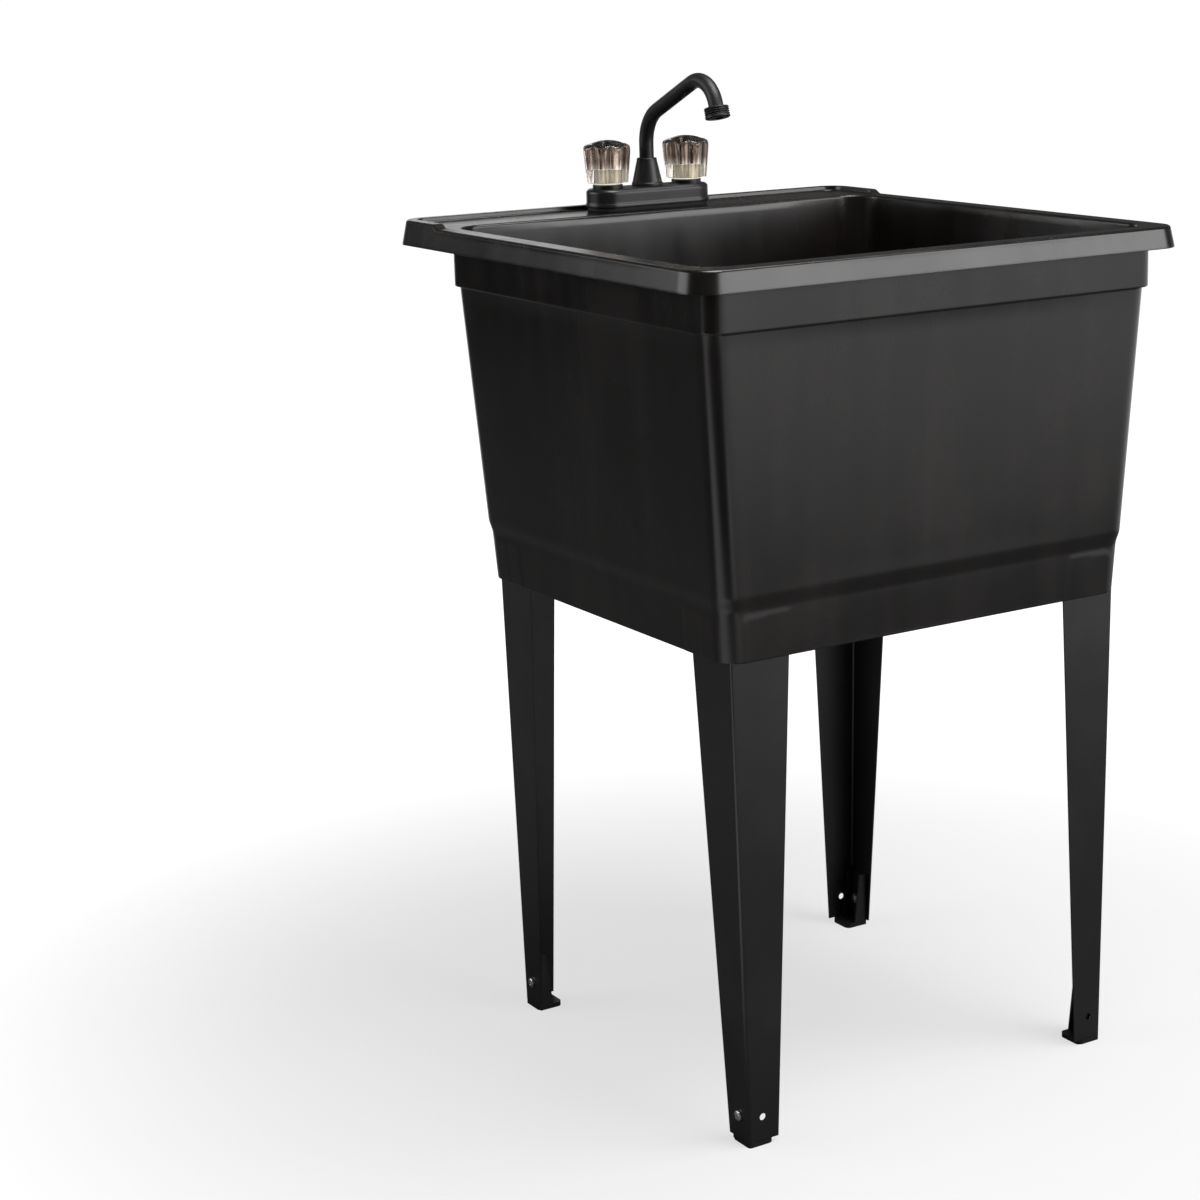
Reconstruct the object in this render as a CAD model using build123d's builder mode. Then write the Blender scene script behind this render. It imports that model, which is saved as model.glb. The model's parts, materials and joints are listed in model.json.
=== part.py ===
from build123d import *

import os
from math import cos, hypot, radians, sin, sqrt, tan

# Free-standing laundry tub: a moulded basin with a tap deck, four splayed pressed-steel legs
# with levelling feet, a two-knob swing-spout tap and a strainer drain.
# Millimetres. +Z up, origin on the floor under the middle of the rim, front at -Y,
# tap deck at +Y.

# ---------------------------------------------------------------- driving dimensions
# Rim and tap deck
rim_width = 581.0
rim_depth = 597.0
rim_height = 864.0
rim_corner_radius = 30.0
lip_drop = 21.5
lip_draft = 4.0
lip_wall = 4.5
rim_plate = 4.5
rim_edge_radius = 2.5
ledge_height = 4.5
ledge_width = 13.0
ledge_ramp = 9.0

# Basin
wall = 4.5
basin_side_margin = 27.0
basin_front_margin = 24.8
deck_depth = 85.5
side_taper = 25.0
front_taper = 13.7
back_taper = 15.5
basin_corner_radius = 32.0
basin_floor_height = 546.0
basin_floor_fillet = 25.0
mouth_edge_radius = 2.5
floor_fall = 12.0
dish_margin = 11.0
edge_overlap = 1.0
floor_wall = 4.5

# Outer form
band_height = 39.0
band_step = 4.0
body_corner_radius = 22.0
skirt_depth = 55.0
skirt_recess = 2.0
skirt_ramp = 4.0
pad_near_corner = 14.0
pad_far_from_corner = 75.0
pad_headroom = 6.0
pad_inner_radius = 14.0
pad_outer_radius = 5.0
rib_thickness = 4.0
rib_drop = 22.0

# Legs
leg_gauge = 1.5
leg_fold_radius = 3.5
leg_width_top = 66.0
leg_width_foot = 34.5
leg_inset_side = 8.1
leg_inset_front = 6.5
leg_inset_back = 11.6
leg_lean_side = 10.2
leg_lean_front = -1.0
leg_lean_back = 1.6
leg_insert = 44.0
socket_clearance = 0.3
socket_wall = 5.0
socket_margin = 8.0
leg_hole_height = 29.5
leg_hole_from_fold = 17.0
screw_hole_radius = 3.25
spare_hole_radius = 3.75

# Feet
foot_length_x = 29.0
foot_length_y = 31.0
foot_plate = 5.0
foot_gap = 0.3
foot_face_gap = 0.1
foot_web = 2.5
foot_height = 63.0
foot_rib = 2.5
foot_rib_depth_top = 10.0
foot_rib_depth_base = 15.5
foot_plate_radius = 6.0
foot_travel = 12.0
screw_radius = 3.0
screw_head_radius = 5.25
screw_head_height = 3.4
nut_across_flats = 10.0
nut_height = 5.0
thread_clearance = 0.05
screw_tail = 1.5
slot_clearance = 0.4

# Drain
drain_flange_radius = 35.0
drain_flange_thickness = 3.0
drain_gasket_thickness = 1.5
drain_body_radius = 22.0
drain_bore_radius = 18.5
drain_cone_radius = 21.0
drain_cone_depth = 14.0
drain_body_length = 38.0
drain_boss_radius = 45.0
drain_boss_thickness = 5.5
drain_hole_clearance = 0.5
strainer_bar = 3.0
strainer_depth = 22.0
drain_washer_thickness = 2.0
drain_locknut_height = 10.0
drain_locknut_radius = 33.0
tailpiece_radius = 19.05
tailpiece_wall = 1.2
tailpiece_length = 65.0
tailpiece_flange_radius = 21.6
tailpiece_flange = 1.5
tailpiece_neck_radius = 19.4
tailpiece_neck = 6.0
slip_nut_height = 18.0
slip_nut_radius = 27.5
slip_nut_lip = 4.0
stopper_gap = 0.35
stopper_flange_radius = 24.0
stopper_flange = 2.5
stopper_grip_radius = 5.0
stopper_grip_height = 12.0

# Tap body
tap_centres = 101.6
tap_setback = 47.5
gasket_height = 4.5
gasket_inset = 2.0
tap_length = 151.0
tap_width = 50.0
tap_body_height = 20.0
tap_edge_radius = 5.0
shank_radius = 10.4
shank_bore_radius = 7.5
shank_length = 55.0
shank_undercut = 2.0
shank_undercut_depth = 0.8
shank_seat = 3.5
shank_hole_clearance = 1.6
waterway_radius = 2.5
chamber_radius = 9.0
chamber_height = 8.0
washer_thickness = 2.0
washer_radius = 17.0
locknut_height = 8.0
locknut_radius = 16.0
locknut_wing = 22.0

# Valves and knobs
collar_radius = 16.5
collar_height = 4.0
neck_radius = 11.0
stem_radius = 5.0
shaft_clearance = 0.06
disc_thickness = 3.0
insert_radius = 14.7
insert_height = 16.5
insert_gap = 0.6
insert_below_knob = 1.6
insert_crown = 2.0
knob_height = 42.0
knob_radius_top = 27.0
knob_radius_bottom = 23.2
knob_lobes = 8
knob_lobe_radius = 9.0
knob_valley_radius = 1.2
knob_shoulder = 8.0
knob_dome_radius = 19.0
knob_dome_rise = 4.0
knob_cap_radius = 8.5
knob_cap_thickness = 2.5
knob_screw_radius = 2.0
knob_screw_head_radius = 4.4
knob_screw_head_height = 3.0
knob_screw_engagement = 11.0

# Spout
spout_nut_radius = 17.25
spout_nut_top_radius = 10.5
spout_nut_height = 30.0
spigot_radius = 13.0
spigot_depth = 6.0
spout_radius = 8.0
spout_wall = 1.4
spout_collar_radius = 9.8
spout_collar_height = 1.6
ring_section = 2.0
spout_corner_height = 96.5
spout_reach = 132.0
spout_slope = 23.7
spout_first_bend = 40.0
spout_second_bend = 34.0
spout_tilt = 14.6
spout_drop = 50.0
outlet_radius = 13.45
outlet_length = 12.0
outlet_socket = 8.8
outlet_socket_clearance = 0.3
outlet_bore_radius = 6.8
outlet_chamfer = 0.8

# ---------------------------------------------------------------- levels and places
left, right, front, back = -1, 1, -1, 1
rim_half_x = rim_width / 2
rim_half_y = rim_depth / 2
lip_bottom = rim_height - lip_drop
ledge_top = rim_height + ledge_height
rim_underside = rim_height - rim_plate
band_bottom = lip_bottom - band_height
skirt_bottom = basin_floor_height - skirt_depth
taper_run = rim_height - skirt_bottom
deck_end_y = rim_half_y - deck_depth
drain_y = (deck_end_y - rim_half_y + basin_front_margin) / 2
drain_level = basin_floor_height - floor_fall
underfloor = basin_floor_height - floor_wall
drain_seat = drain_level - drain_flange_thickness - drain_gasket_thickness
boss_bottom = drain_seat - drain_boss_thickness
leg_top = skirt_bottom + leg_insert
leg_bottom = foot_plate + foot_gap
tap_y = rim_half_y - tap_setback
tap_x = tap_centres / 2
body_base = rim_height + gasket_height
body_top = body_base + tap_body_height
knob_base = body_top + collar_height + insert_gap + insert_below_knob


def taper_share(height):
    """Share of the wall's full taper reached at a height."""
    return (rim_height - height) / taper_run


def inner_limits(height, grow=0.0):
    """Half width, front and back of the basin's inside, grown outward."""
    share = taper_share(height)
    half = rim_half_x - basin_side_margin - side_taper * share + grow
    near = -rim_half_y + basin_front_margin + front_taper * share - grow
    far = deck_end_y - back_taper * share + grow
    return half, near, far


def plan(height, half, near, far, radius):
    """Rounded rectangle in plan at a height."""
    with BuildSketch(Plane.XY.offset(height), mode=Mode.PRIVATE) as outline:
        with Locations((0, (near + far) / 2)):
            RectangleRounded(2 * half, far - near, radius)
    return outline.sketch


def tapered_plan(height, grow, radius):
    """Basin section at a height, grown outward by a wall."""
    return plan(height, *inner_limits(height, grow), radius)


def rim_plan(height, inset):
    """Rim outline at a height, following the lip's draft, moved inward by an inset."""
    draft = lip_draft * (height - lip_bottom) / lip_drop
    half_x = rim_half_x - draft - inset
    half_y = rim_half_y - draft - inset
    radius = max(rim_corner_radius - draft / 2 - inset, 4.0)
    return plan(height, half_x, -half_y, half_y, radius)


dish_floor = inner_limits(basin_floor_height)
dish_radius = min(drain_y - dish_floor[1], dish_floor[2] - drain_y) - basin_floor_fillet - dish_margin


# ---------------------------------------------------------------- leg geometry
corners = {
    "front_left": (left, front),
    "front_right": (right, front),
    "back_left": (left, back),
    "back_right": (right, back),
}


def fold_at(corner, height):
    """Where a leg's outer fold line stands at a height."""
    side, end = corner
    half, near, far = inner_limits(skirt_bottom, wall)
    up = height / skirt_bottom
    fold_x = side * (half - leg_inset_side - leg_lean_side * (1 - up))
    if end == front:
        fold_y = near + leg_inset_front + leg_lean_front * (1 - up)
    else:
        fold_y = far - leg_inset_back - leg_lean_back * (1 - up)
    return fold_x, fold_y


def lean_of(corner):
    """Direction of a leg's fold line, pointing up."""
    low_x, low_y = fold_at(corner, 0)
    high_x, high_y = fold_at(corner, skirt_bottom)
    return Vector(high_x - low_x, high_y - low_y, skirt_bottom).normalized()


def leg_section(corner, height, grow=0.0):
    """Angle section of a leg at a height, grown all round for its socket."""
    side, end = corner
    fold_x, fold_y = fold_at(corner, height)
    outer_x = fold_x + side * grow
    outer_y = fold_y + end * grow
    along = (height - leg_bottom) / (skirt_bottom - leg_bottom)
    width = leg_width_foot + (leg_width_top - leg_width_foot) * along + 2 * grow
    gauge = leg_gauge + 2 * grow
    with BuildSketch(Plane.XY.offset(height), mode=Mode.PRIVATE) as section:
        with BuildLine():
            Polyline(
                (outer_x, outer_y),
                (outer_x - side * width, outer_y),
                (outer_x - side * width, outer_y - end * gauge),
                (outer_x - side * gauge, outer_y - end * gauge),
                (outer_x - side * gauge, outer_y - end * width),
                (outer_x, outer_y - end * width),
                close=True,
            )
        make_face()
        fold = section.vertices().sort_by_distance((outer_x, outer_y, height))[0]
        fillet(fold, leg_fold_radius + grow)
        inside = (outer_x - side * gauge, outer_y - end * gauge, height)
        fillet(section.vertices().sort_by_distance(inside)[0], leg_fold_radius - leg_gauge - grow)
    return section.sketch


def side_flange_plane(corner, height, depth=0.0):
    """Plane on a leg's side-facing flange at its screw hole, sunk inward by a depth."""
    side, end = corner
    fold_x, fold_y = fold_at(corner, height)
    lean = lean_of(corner)
    normal = Vector(0, side, 0).cross(lean).normalized()
    spot = Vector(fold_x, fold_y - end * leg_hole_from_fold, height)
    return Plane(origin=spot - normal * depth, x_dir=lean, z_dir=normal)


def end_flange_plane(corner, height):
    """Plane on a leg's front- or back-facing flange at its spare hole."""
    side, end = corner
    fold_x, fold_y = fold_at(corner, height)
    lean = lean_of(corner)
    normal = lean.cross(Vector(end, 0, 0)).normalized()
    spot = Vector(fold_x - side * leg_hole_from_fold, fold_y, height)
    return Plane(origin=spot, x_dir=lean, z_dir=normal)


os.makedirs("parts", exist_ok=True)

# ---------------------------------------------------------------- tub
# Space inside the basin, with its rounded foot and the shallow dish that falls to the drain.
with BuildPart() as basin_space:
    loft(
        [
            tapered_plan(basin_floor_height, 0, basin_corner_radius),
            tapered_plan(ledge_top, 0, basin_corner_radius),
        ],
        ruled=True,
    )
    fillet(basin_space.faces().sort_by(Axis.Z)[0].edges(), basin_floor_fillet)
    with BuildSketch(Plane.XZ.offset(-drain_y)):
        with BuildLine():
            Polyline(
                (0, drain_level),
                (drain_flange_radius + drain_hole_clearance, drain_level),
                (dish_radius, basin_floor_height),
                (dish_radius, basin_floor_height + 1),
                (0, basin_floor_height + 1),
                close=True,
            )
        make_face()
    revolve(axis=Axis((0, drain_y, 0), (0, 0, 1)))

# Space under the floor, inside the skirt, less the four leg-socket corners and the ribs.
with BuildPart() as skirt_space:
    loft(
        [
            tapered_plan(skirt_bottom - 1, -skirt_recess, body_corner_radius - wall),
            tapered_plan(underfloor, -skirt_recess, body_corner_radius - wall),
        ],
        ruled=True,
    )
    with BuildSketch(Plane.XY.offset(skirt_bottom - 1)):
        for corner in corners.values():
            side, end = corner
            fold_x, fold_y = fold_at(corner, skirt_bottom)
            inner = leg_gauge + socket_clearance + socket_wall
            reach = leg_width_top + socket_margin
            with BuildLine():
                Polyline(
                    (fold_x + side * wall * 4, fold_y + end * wall * 4),
                    (fold_x - side * reach, fold_y + end * wall * 4),
                    (fold_x - side * reach, fold_y - end * inner),
                    (fold_x - side * inner, fold_y - end * inner),
                    (fold_x - side * inner, fold_y - end * reach),
                    (fold_x + side * wall * 4, fold_y - end * reach),
                    close=True,
                )
            make_face()
    extrude(amount=underfloor - skirt_bottom + 1, mode=Mode.SUBTRACT)
    with BuildSketch(Plane.XY.offset(underfloor - rib_drop)):
        with Locations((0, drain_y)):
            Rectangle(rim_width, rib_thickness)
            Rectangle(rib_thickness, rim_depth)
    extrude(amount=rib_drop, mode=Mode.SUBTRACT)
    with BuildSketch(Plane.XY.offset(boss_bottom)):
        with Locations((0, drain_y)):
            Circle(drain_boss_radius)
    extrude(amount=skirt_bottom - boss_bottom)

band_grow = wall + band_step
skirt_grow = wall - skirt_recess
pad_top = basin_floor_height - pad_headroom - skirt_bottom

# Raised pads outside the leg sockets, two on each face, flush with the body above.
with BuildPart() as leg_pads:
    low = inner_limits(skirt_bottom, wall)
    high = inner_limits(basin_floor_height, wall)
    rise = basin_floor_height - skirt_bottom
    middle = (low[1] + low[2]) / 2
    faces_round = [
        (Vector(-low[0], middle, 0), Vector(low[0] - high[0], 0, rise), (low[2] - low[1]) / 2),
        (Vector(low[0], middle, 0), Vector(high[0] - low[0], 0, rise), (low[2] - low[1]) / 2),
        (Vector(0, low[1], 0), Vector(0, high[1] - low[1], rise), low[0]),
        (Vector(0, low[2], 0), Vector(0, high[2] - low[2], rise), low[0]),
    ]
    for foot_point, up, half_length in faces_round:
        outward = Vector(foot_point.X, 0 if foot_point.X else foot_point.Y, 0).normalized()
        along = up.cross(outward).normalized()
        face_plane = Plane(
            origin=foot_point + Vector(0, 0, skirt_bottom), x_dir=along, z_dir=along.cross(up)
        )
        if face_plane.z_dir.dot(outward) < 0:
            raise ValueError("pad plane faces inward")
        with BuildSketch(face_plane) as pads:
            for end in (-1, 1):
                middle_of_pad = end * (half_length - (pad_near_corner + pad_far_from_corner) / 2)
                with Locations((middle_of_pad, pad_top / 2)):
                    Rectangle(pad_far_from_corner - pad_near_corner, pad_top)
            upper = pads.vertices().group_by(Axis.Y)[-1].sort_by(Axis.X)
            fillet([upper[0], upper[-1]], pad_inner_radius)
            fillet(pads.vertices().group_by(Axis.Y)[-1].sort_by(Axis.X)[1:-1], pad_outer_radius)
        extrude(amount=-(skirt_recess + wall / 2))
with BuildPart() as tub:
    # Lip and ledge in one drafted form, then everything above the rim but the ledge cut away.
    loft([rim_plan(lip_bottom, 0), rim_plan(ledge_top, 0)], ruled=True)
    add(rim_plan(rim_height, ledge_width))
    extrude(amount=ledge_height + 1, mode=Mode.SUBTRACT)
    with BuildSketch(Plane.YZ.offset(-rim_width)):
        with BuildLine():
            Polyline(
                (-rim_depth, rim_height),
                (deck_end_y - ledge_ramp, rim_height),
                (deck_end_y, ledge_top),
                (deck_end_y, ledge_top + 1),
                (-rim_depth, ledge_top + 1),
                close=True,
            )
        make_face()
    extrude(amount=2 * rim_width, mode=Mode.SUBTRACT)
    # Hollow behind the turned-down lip.
    loft(
        [rim_plan(lip_bottom - 1, lip_wall), rim_plan(rim_underside, lip_wall)],
        ruled=True,
        mode=Mode.SUBTRACT,
    )
    # Band under the rim.
    add(plan(band_bottom, *inner_limits(band_bottom, band_grow), body_corner_radius))
    extrude(amount=rim_height - rim_plate / 2 - band_bottom)
    # Tapering body, and the skirt set back a little below the floor line.
    loft(
        [
            tapered_plan(basin_floor_height + skirt_ramp, wall, body_corner_radius),
            tapered_plan(band_bottom + 1, wall, body_corner_radius),
        ],
        ruled=True,
    )
    loft(
        [
            tapered_plan(basin_floor_height, skirt_grow, body_corner_radius),
            tapered_plan(basin_floor_height + skirt_ramp, wall, body_corner_radius),
        ],
        ruled=True,
    )
    loft(
        [
            tapered_plan(skirt_bottom, skirt_grow, body_corner_radius),
            tapered_plan(basin_floor_height, skirt_grow, body_corner_radius),
        ],
        ruled=True,
    )
    add(leg_pads.part)
    add(skirt_space.part, mode=Mode.SUBTRACT)
    # Underside of the dish and the boss round the drain.
    with BuildSketch(Plane.XZ.offset(-drain_y)):
        with BuildLine():
            Polyline(
                (0, boss_bottom),
                (drain_boss_radius, boss_bottom),
                (drain_boss_radius, drain_level - floor_wall),
                (dish_radius, underfloor),
                (dish_radius, underfloor + 1),
                (0, underfloor + 1),
                close=True,
            )
        make_face()
    revolve(axis=Axis((0, drain_y, 0), (0, 0, 1)))
    add(basin_space.part, mode=Mode.SUBTRACT)
    # Leg sockets, drain seat and hole, shank holes.
    for corner in corners.values():
        loft(
            [
                leg_section(corner, skirt_bottom - 1, socket_clearance),
                leg_section(corner, leg_top, socket_clearance),
            ],
            ruled=True,
            mode=Mode.SUBTRACT,
        )
    with BuildSketch(Plane.XY.offset(drain_seat)):
        with Locations((0, drain_y)):
            Circle(drain_flange_radius + drain_hole_clearance)
    extrude(amount=floor_fall, mode=Mode.SUBTRACT)
    with BuildSketch(Plane.XY.offset(boss_bottom - 1)):
        with Locations((0, drain_y)):
            Circle(drain_body_radius + drain_hole_clearance)
    extrude(amount=floor_fall, mode=Mode.SUBTRACT)
    with BuildSketch(Plane.XY.offset(rim_underside - 1)):
        with Locations((-tap_x, tap_y), (tap_x, tap_y)):
            Circle(shank_radius + shank_hole_clearance)
    extrude(amount=rim_plate + 2, mode=Mode.SUBTRACT)
    # Softened rim and mouth edges.
    core = rim_plan(rim_height, ledge_width / 2).face()
    upper = tub.edges().filter_by(lambda edge: edge.bounding_box().min.Z > rim_height - 0.01)
    rim_edges = upper.filter_by(lambda e: not core.is_inside(Vector((e @ 0.5).X, (e @ 0.5).Y, rim_height)))
    fillet(rim_edges, rim_edge_radius)
    mouth_half, mouth_near, mouth_far = inner_limits(rim_height, edge_overlap)
    level = tub.edges().filter_by_position(Axis.Z, rim_height - 0.01, rim_height + 0.01)
    mouth_edges = level.filter_by(
        lambda e: abs((e @ 0.5).X) < mouth_half and mouth_near < (e @ 0.5).Y < mouth_far
    )
    fillet(mouth_edges, mouth_edge_radius)
tub.part.label = "tub"
export_step(tub.part, "parts/tub.step")


# ---------------------------------------------------------------- legs and feet
def turned(plane, points):
    """Profile of a turned piece: pairs of distance along the plane's normal and radius."""
    across = Plane(origin=plane.origin, x_dir=plane.z_dir, z_dir=plane.y_dir)
    with BuildSketch(across, mode=Mode.PRIVATE) as profile:
        with BuildLine():
            Polyline(*points, close=True)
        make_face()
    return profile.sketch


for name, corner in corners.items():
    side, end = corner
    with BuildPart() as leg:
        loft([leg_section(corner, leg_bottom), leg_section(corner, leg_top)], ruled=True)
        with BuildSketch(side_flange_plane(corner, leg_hole_height)):
            Circle(screw_hole_radius)
        extrude(amount=2 * leg_gauge, both=True, mode=Mode.SUBTRACT)
        with BuildSketch(end_flange_plane(corner, leg_hole_height)):
            Circle(spare_hole_radius)
        extrude(amount=2 * leg_gauge, both=True, mode=Mode.SUBTRACT)
    leg.part.label = f"leg_{name}"
    export_step(leg.part, f"parts/leg_{name}.step")

    fold_x, fold_y = fold_at(corner, 0)
    lean = lean_of(corner)
    web_face = leg_gauge + foot_face_gap
    web_start = leg_fold_radius + foot_face_gap
    with BuildPart() as foot:
        with BuildSketch() as sole:
            with Locations((fold_x - side * foot_length_x / 2, fold_y - end * foot_length_y / 2)):
                Rectangle(foot_length_x, foot_length_y)
            by_fold = sole.vertices().sort_by_distance((fold_x, fold_y, 0))
            fillet(by_fold[1:], foot_plate_radius)
            fillet(sole.vertices().sort_by_distance((fold_x, fold_y, 0))[0], leg_fold_radius)
        extrude(amount=foot_plate)
        with BuildSketch():
            with BuildLine():
                Polyline(
                    (fold_x - side * web_face, fold_y - end * web_start),
                    (fold_x - side * (web_face + foot_web), fold_y - end * web_start),
                    (fold_x - side * (web_face + foot_web), fold_y - end * foot_length_y),
                    (fold_x - side * web_face, fold_y - end * foot_length_y),
                    close=True,
                )
            make_face()
        extrude(amount=foot_height / lean.Z, dir=lean)
        for rib_from_fold in (web_start, foot_length_y - foot_rib):
            base_x = fold_x - side * web_face
            top_x = fold_at(corner, foot_height)[0] - side * web_face
            with BuildSketch(Plane.XZ.offset(end * rib_from_fold - fold_y)):
                with BuildLine():
                    Polyline(
                        (base_x, 0),
                        (base_x - side * foot_rib_depth_base, 0),
                        (base_x - side * foot_rib_depth_base, foot_plate),
                        (top_x - side * foot_rib_depth_top, foot_height),
                        (top_x, foot_height),
                        close=True,
                    )
                make_face()
            extrude(amount=end * foot_rib)
        with BuildSketch(side_flange_plane(corner, leg_hole_height, leg_gauge)):
            with Locations((foot_travel / 2, 0)):
                SlotCenterToCenter(foot_travel, 2 * (screw_radius + slot_clearance))
        extrude(amount=-(foot_face_gap + foot_web + 1), mode=Mode.SUBTRACT)
    foot.part.label = f"foot_{name}"
    export_step(foot.part, f"parts/foot_{name}.step")

nut_depth = leg_gauge + foot_face_gap + foot_web
with BuildPart() as foot_screws:
    for corner in corners.values():
        seat = side_flange_plane(corner, leg_hole_height)
        profile = turned(
            seat,
            [
                (-(nut_depth + nut_height + screw_tail), 0),
                (-(nut_depth + nut_height + screw_tail), screw_radius),
                (0, screw_radius),
                (0, screw_head_radius),
                (screw_head_height * 0.45, screw_head_radius),
                (screw_head_height * 0.85, screw_head_radius * 0.75),
                (screw_head_height, screw_head_radius * 0.4),
                (screw_head_height, 0),
            ],
        )
        revolve(profile, axis=Axis(seat.origin, seat.z_dir))
foot_screws.part.label = "foot_screws"
export_step(foot_screws.part, "parts/foot_screws.step")

with BuildPart() as foot_nuts:
    for corner in corners.values():
        with BuildSketch(side_flange_plane(corner, leg_hole_height, nut_depth)):
            RegularPolygon(nut_across_flats / 2, 6, major_radius=False)
            Circle(screw_radius + thread_clearance, mode=Mode.SUBTRACT)
        extrude(amount=-nut_height)
foot_nuts.part.label = "foot_nuts"
export_step(foot_nuts.part, "parts/foot_nuts.step")

# ---------------------------------------------------------------- drain
drain_axis = Plane((0, drain_y, 0))
drain_line = Axis((0, drain_y, 0), (0, 0, 1))
drain_body_end = drain_level - drain_flange_thickness - drain_body_length
strainer_top = drain_level - strainer_depth
with BuildPart() as drain_flange:
    rim_low = drain_level - drain_flange_thickness
    profile = turned(
        drain_axis,
        [
            (drain_level - drain_cone_depth, drain_bore_radius),
            (drain_level, drain_cone_radius),
            (drain_level, drain_flange_radius - drain_flange_thickness / 2),
            (rim_low + drain_flange_thickness / 3, drain_flange_radius),
            (rim_low, drain_flange_radius),
            (rim_low, drain_body_radius),
            (drain_body_end, drain_body_radius),
            (drain_body_end, drain_bore_radius),
        ],
    )
    revolve(profile, axis=drain_line)
    with BuildSketch(Plane.XY.offset(strainer_top)):
        with Locations((0, drain_y)):
            Rectangle(2 * drain_bore_radius + edge_overlap, strainer_bar)
            Rectangle(strainer_bar, 2 * drain_bore_radius + edge_overlap)
    extrude(amount=-strainer_bar)
drain_flange.part.label = "drain_flange"
export_step(drain_flange.part, "parts/drain_flange.step")

with BuildPart() as drain_gasket:
    with BuildSketch(Plane.XY.offset(drain_seat)):
        with Locations((0, drain_y)):
            Circle(drain_flange_radius - drain_hole_clearance)
            Circle(drain_body_radius + drain_hole_clearance, mode=Mode.SUBTRACT)
    extrude(amount=drain_gasket_thickness)
drain_gasket.part.label = "drain_gasket"
export_step(drain_gasket.part, "parts/drain_gasket.step")

with BuildPart() as drain_washer:
    with BuildSketch(Plane.XY.offset(boss_bottom)):
        with Locations((0, drain_y)):
            Circle(drain_locknut_radius)
            Circle(drain_body_radius + drain_hole_clearance, mode=Mode.SUBTRACT)
    extrude(amount=-drain_washer_thickness)
drain_washer.part.label = "drain_washer"
export_step(drain_washer.part, "parts/drain_washer.step")

locknut_notches = 6
with BuildPart() as drain_locknut:
    with BuildSketch(Plane.XY.offset(boss_bottom - drain_washer_thickness)):
        with Locations((0, drain_y)):
            Circle(drain_locknut_radius)
            Circle(drain_body_radius + thread_clearance, mode=Mode.SUBTRACT)
            with PolarLocations(drain_locknut_radius, locknut_notches):
                Circle(drain_locknut_height / 2, mode=Mode.SUBTRACT)
    extrude(amount=-drain_locknut_height)
drain_locknut.part.label = "drain_locknut"
export_step(drain_locknut.part, "parts/drain_locknut.step")

tailpiece_top = drain_body_end - tailpiece_flange
with BuildPart() as tailpiece_washer:
    with BuildSketch(Plane.XY.offset(tailpiece_top)):
        with Locations((0, drain_y)):
            Circle(tailpiece_flange_radius)
            Circle(drain_bore_radius, mode=Mode.SUBTRACT)
    extrude(amount=tailpiece_flange)
tailpiece_washer.part.label = "tailpiece_washer"
export_step(tailpiece_washer.part, "parts/tailpiece_washer.step")

with BuildPart() as tailpiece:
    with BuildSketch(Plane.XY.offset(tailpiece_top)) as tube_ring:
        with Locations((0, drain_y)):
            Circle(tailpiece_radius)
            Circle(tailpiece_radius - tailpiece_wall, mode=Mode.SUBTRACT)
    extrude(amount=-tailpiece_length)
    with BuildSketch(Plane.XY.offset(tailpiece_top)) as flange_ring:
        with Locations((0, drain_y)):
            Circle(tailpiece_flange_radius)
            Circle(tailpiece_radius - tailpiece_wall, mode=Mode.SUBTRACT)
    extrude(amount=-tailpiece_flange)
    with BuildSketch(Plane.XY.offset(tailpiece_top)) as neck_ring:
        with Locations((0, drain_y)):
            Circle(tailpiece_neck_radius)
            Circle(tailpiece_radius - tailpiece_wall, mode=Mode.SUBTRACT)
    extrude(amount=-(tailpiece_flange + tailpiece_neck))
tailpiece.part.label = "tailpiece"
export_step(tailpiece.part, "parts/tailpiece.step")

nut_base = tailpiece_top - tailpiece_flange - slip_nut_lip
with BuildPart() as slip_nut:
    with BuildSketch(Plane.XY.offset(nut_base)):
        with Locations((0, drain_y)):
            RegularPolygon(slip_nut_radius, 8)
            Circle(tailpiece_neck_radius + thread_clearance, mode=Mode.SUBTRACT)
    extrude(amount=slip_nut_height)
    with BuildSketch(Plane.XY.offset(nut_base + slip_nut_lip)):
        with Locations((0, drain_y)):
            Circle(drain_body_radius + thread_clearance)
    extrude(amount=slip_nut_height, mode=Mode.SUBTRACT)
slip_nut.part.label = "slip_nut"
export_step(slip_nut.part, "parts/slip_nut.step")

cone_slope = (drain_cone_radius - drain_bore_radius) / drain_cone_depth
plug_depth = drain_cone_depth - stopper_flange
plug_top_radius = drain_cone_radius - stopper_gap * 1.2
with BuildPart() as drain_stopper:
    seat = drain_level + stopper_gap
    profile = turned(
        drain_axis,
        [
            (drain_level - plug_depth, 0),
            (drain_level - plug_depth, plug_top_radius - cone_slope * plug_depth),
            (drain_level, plug_top_radius),
            (seat, plug_top_radius),
            (seat, stopper_flange_radius),
            (seat + stopper_flange * 0.6, stopper_flange_radius),
            (seat + stopper_flange, stopper_flange_radius - stopper_flange),
            (seat + stopper_flange, stopper_grip_radius * 0.6),
            (seat + stopper_grip_height * 0.55, stopper_grip_radius * 0.6),
            (seat + stopper_grip_height * 0.75, stopper_grip_radius),
            (seat + stopper_grip_height, stopper_grip_radius * 0.7),
            (seat + stopper_grip_height, 0),
        ],
    )
    revolve(profile, axis=drain_line)
drain_stopper.part.label = "drain_stopper"
export_step(drain_stopper.part, "parts/drain_stopper.step")

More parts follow.
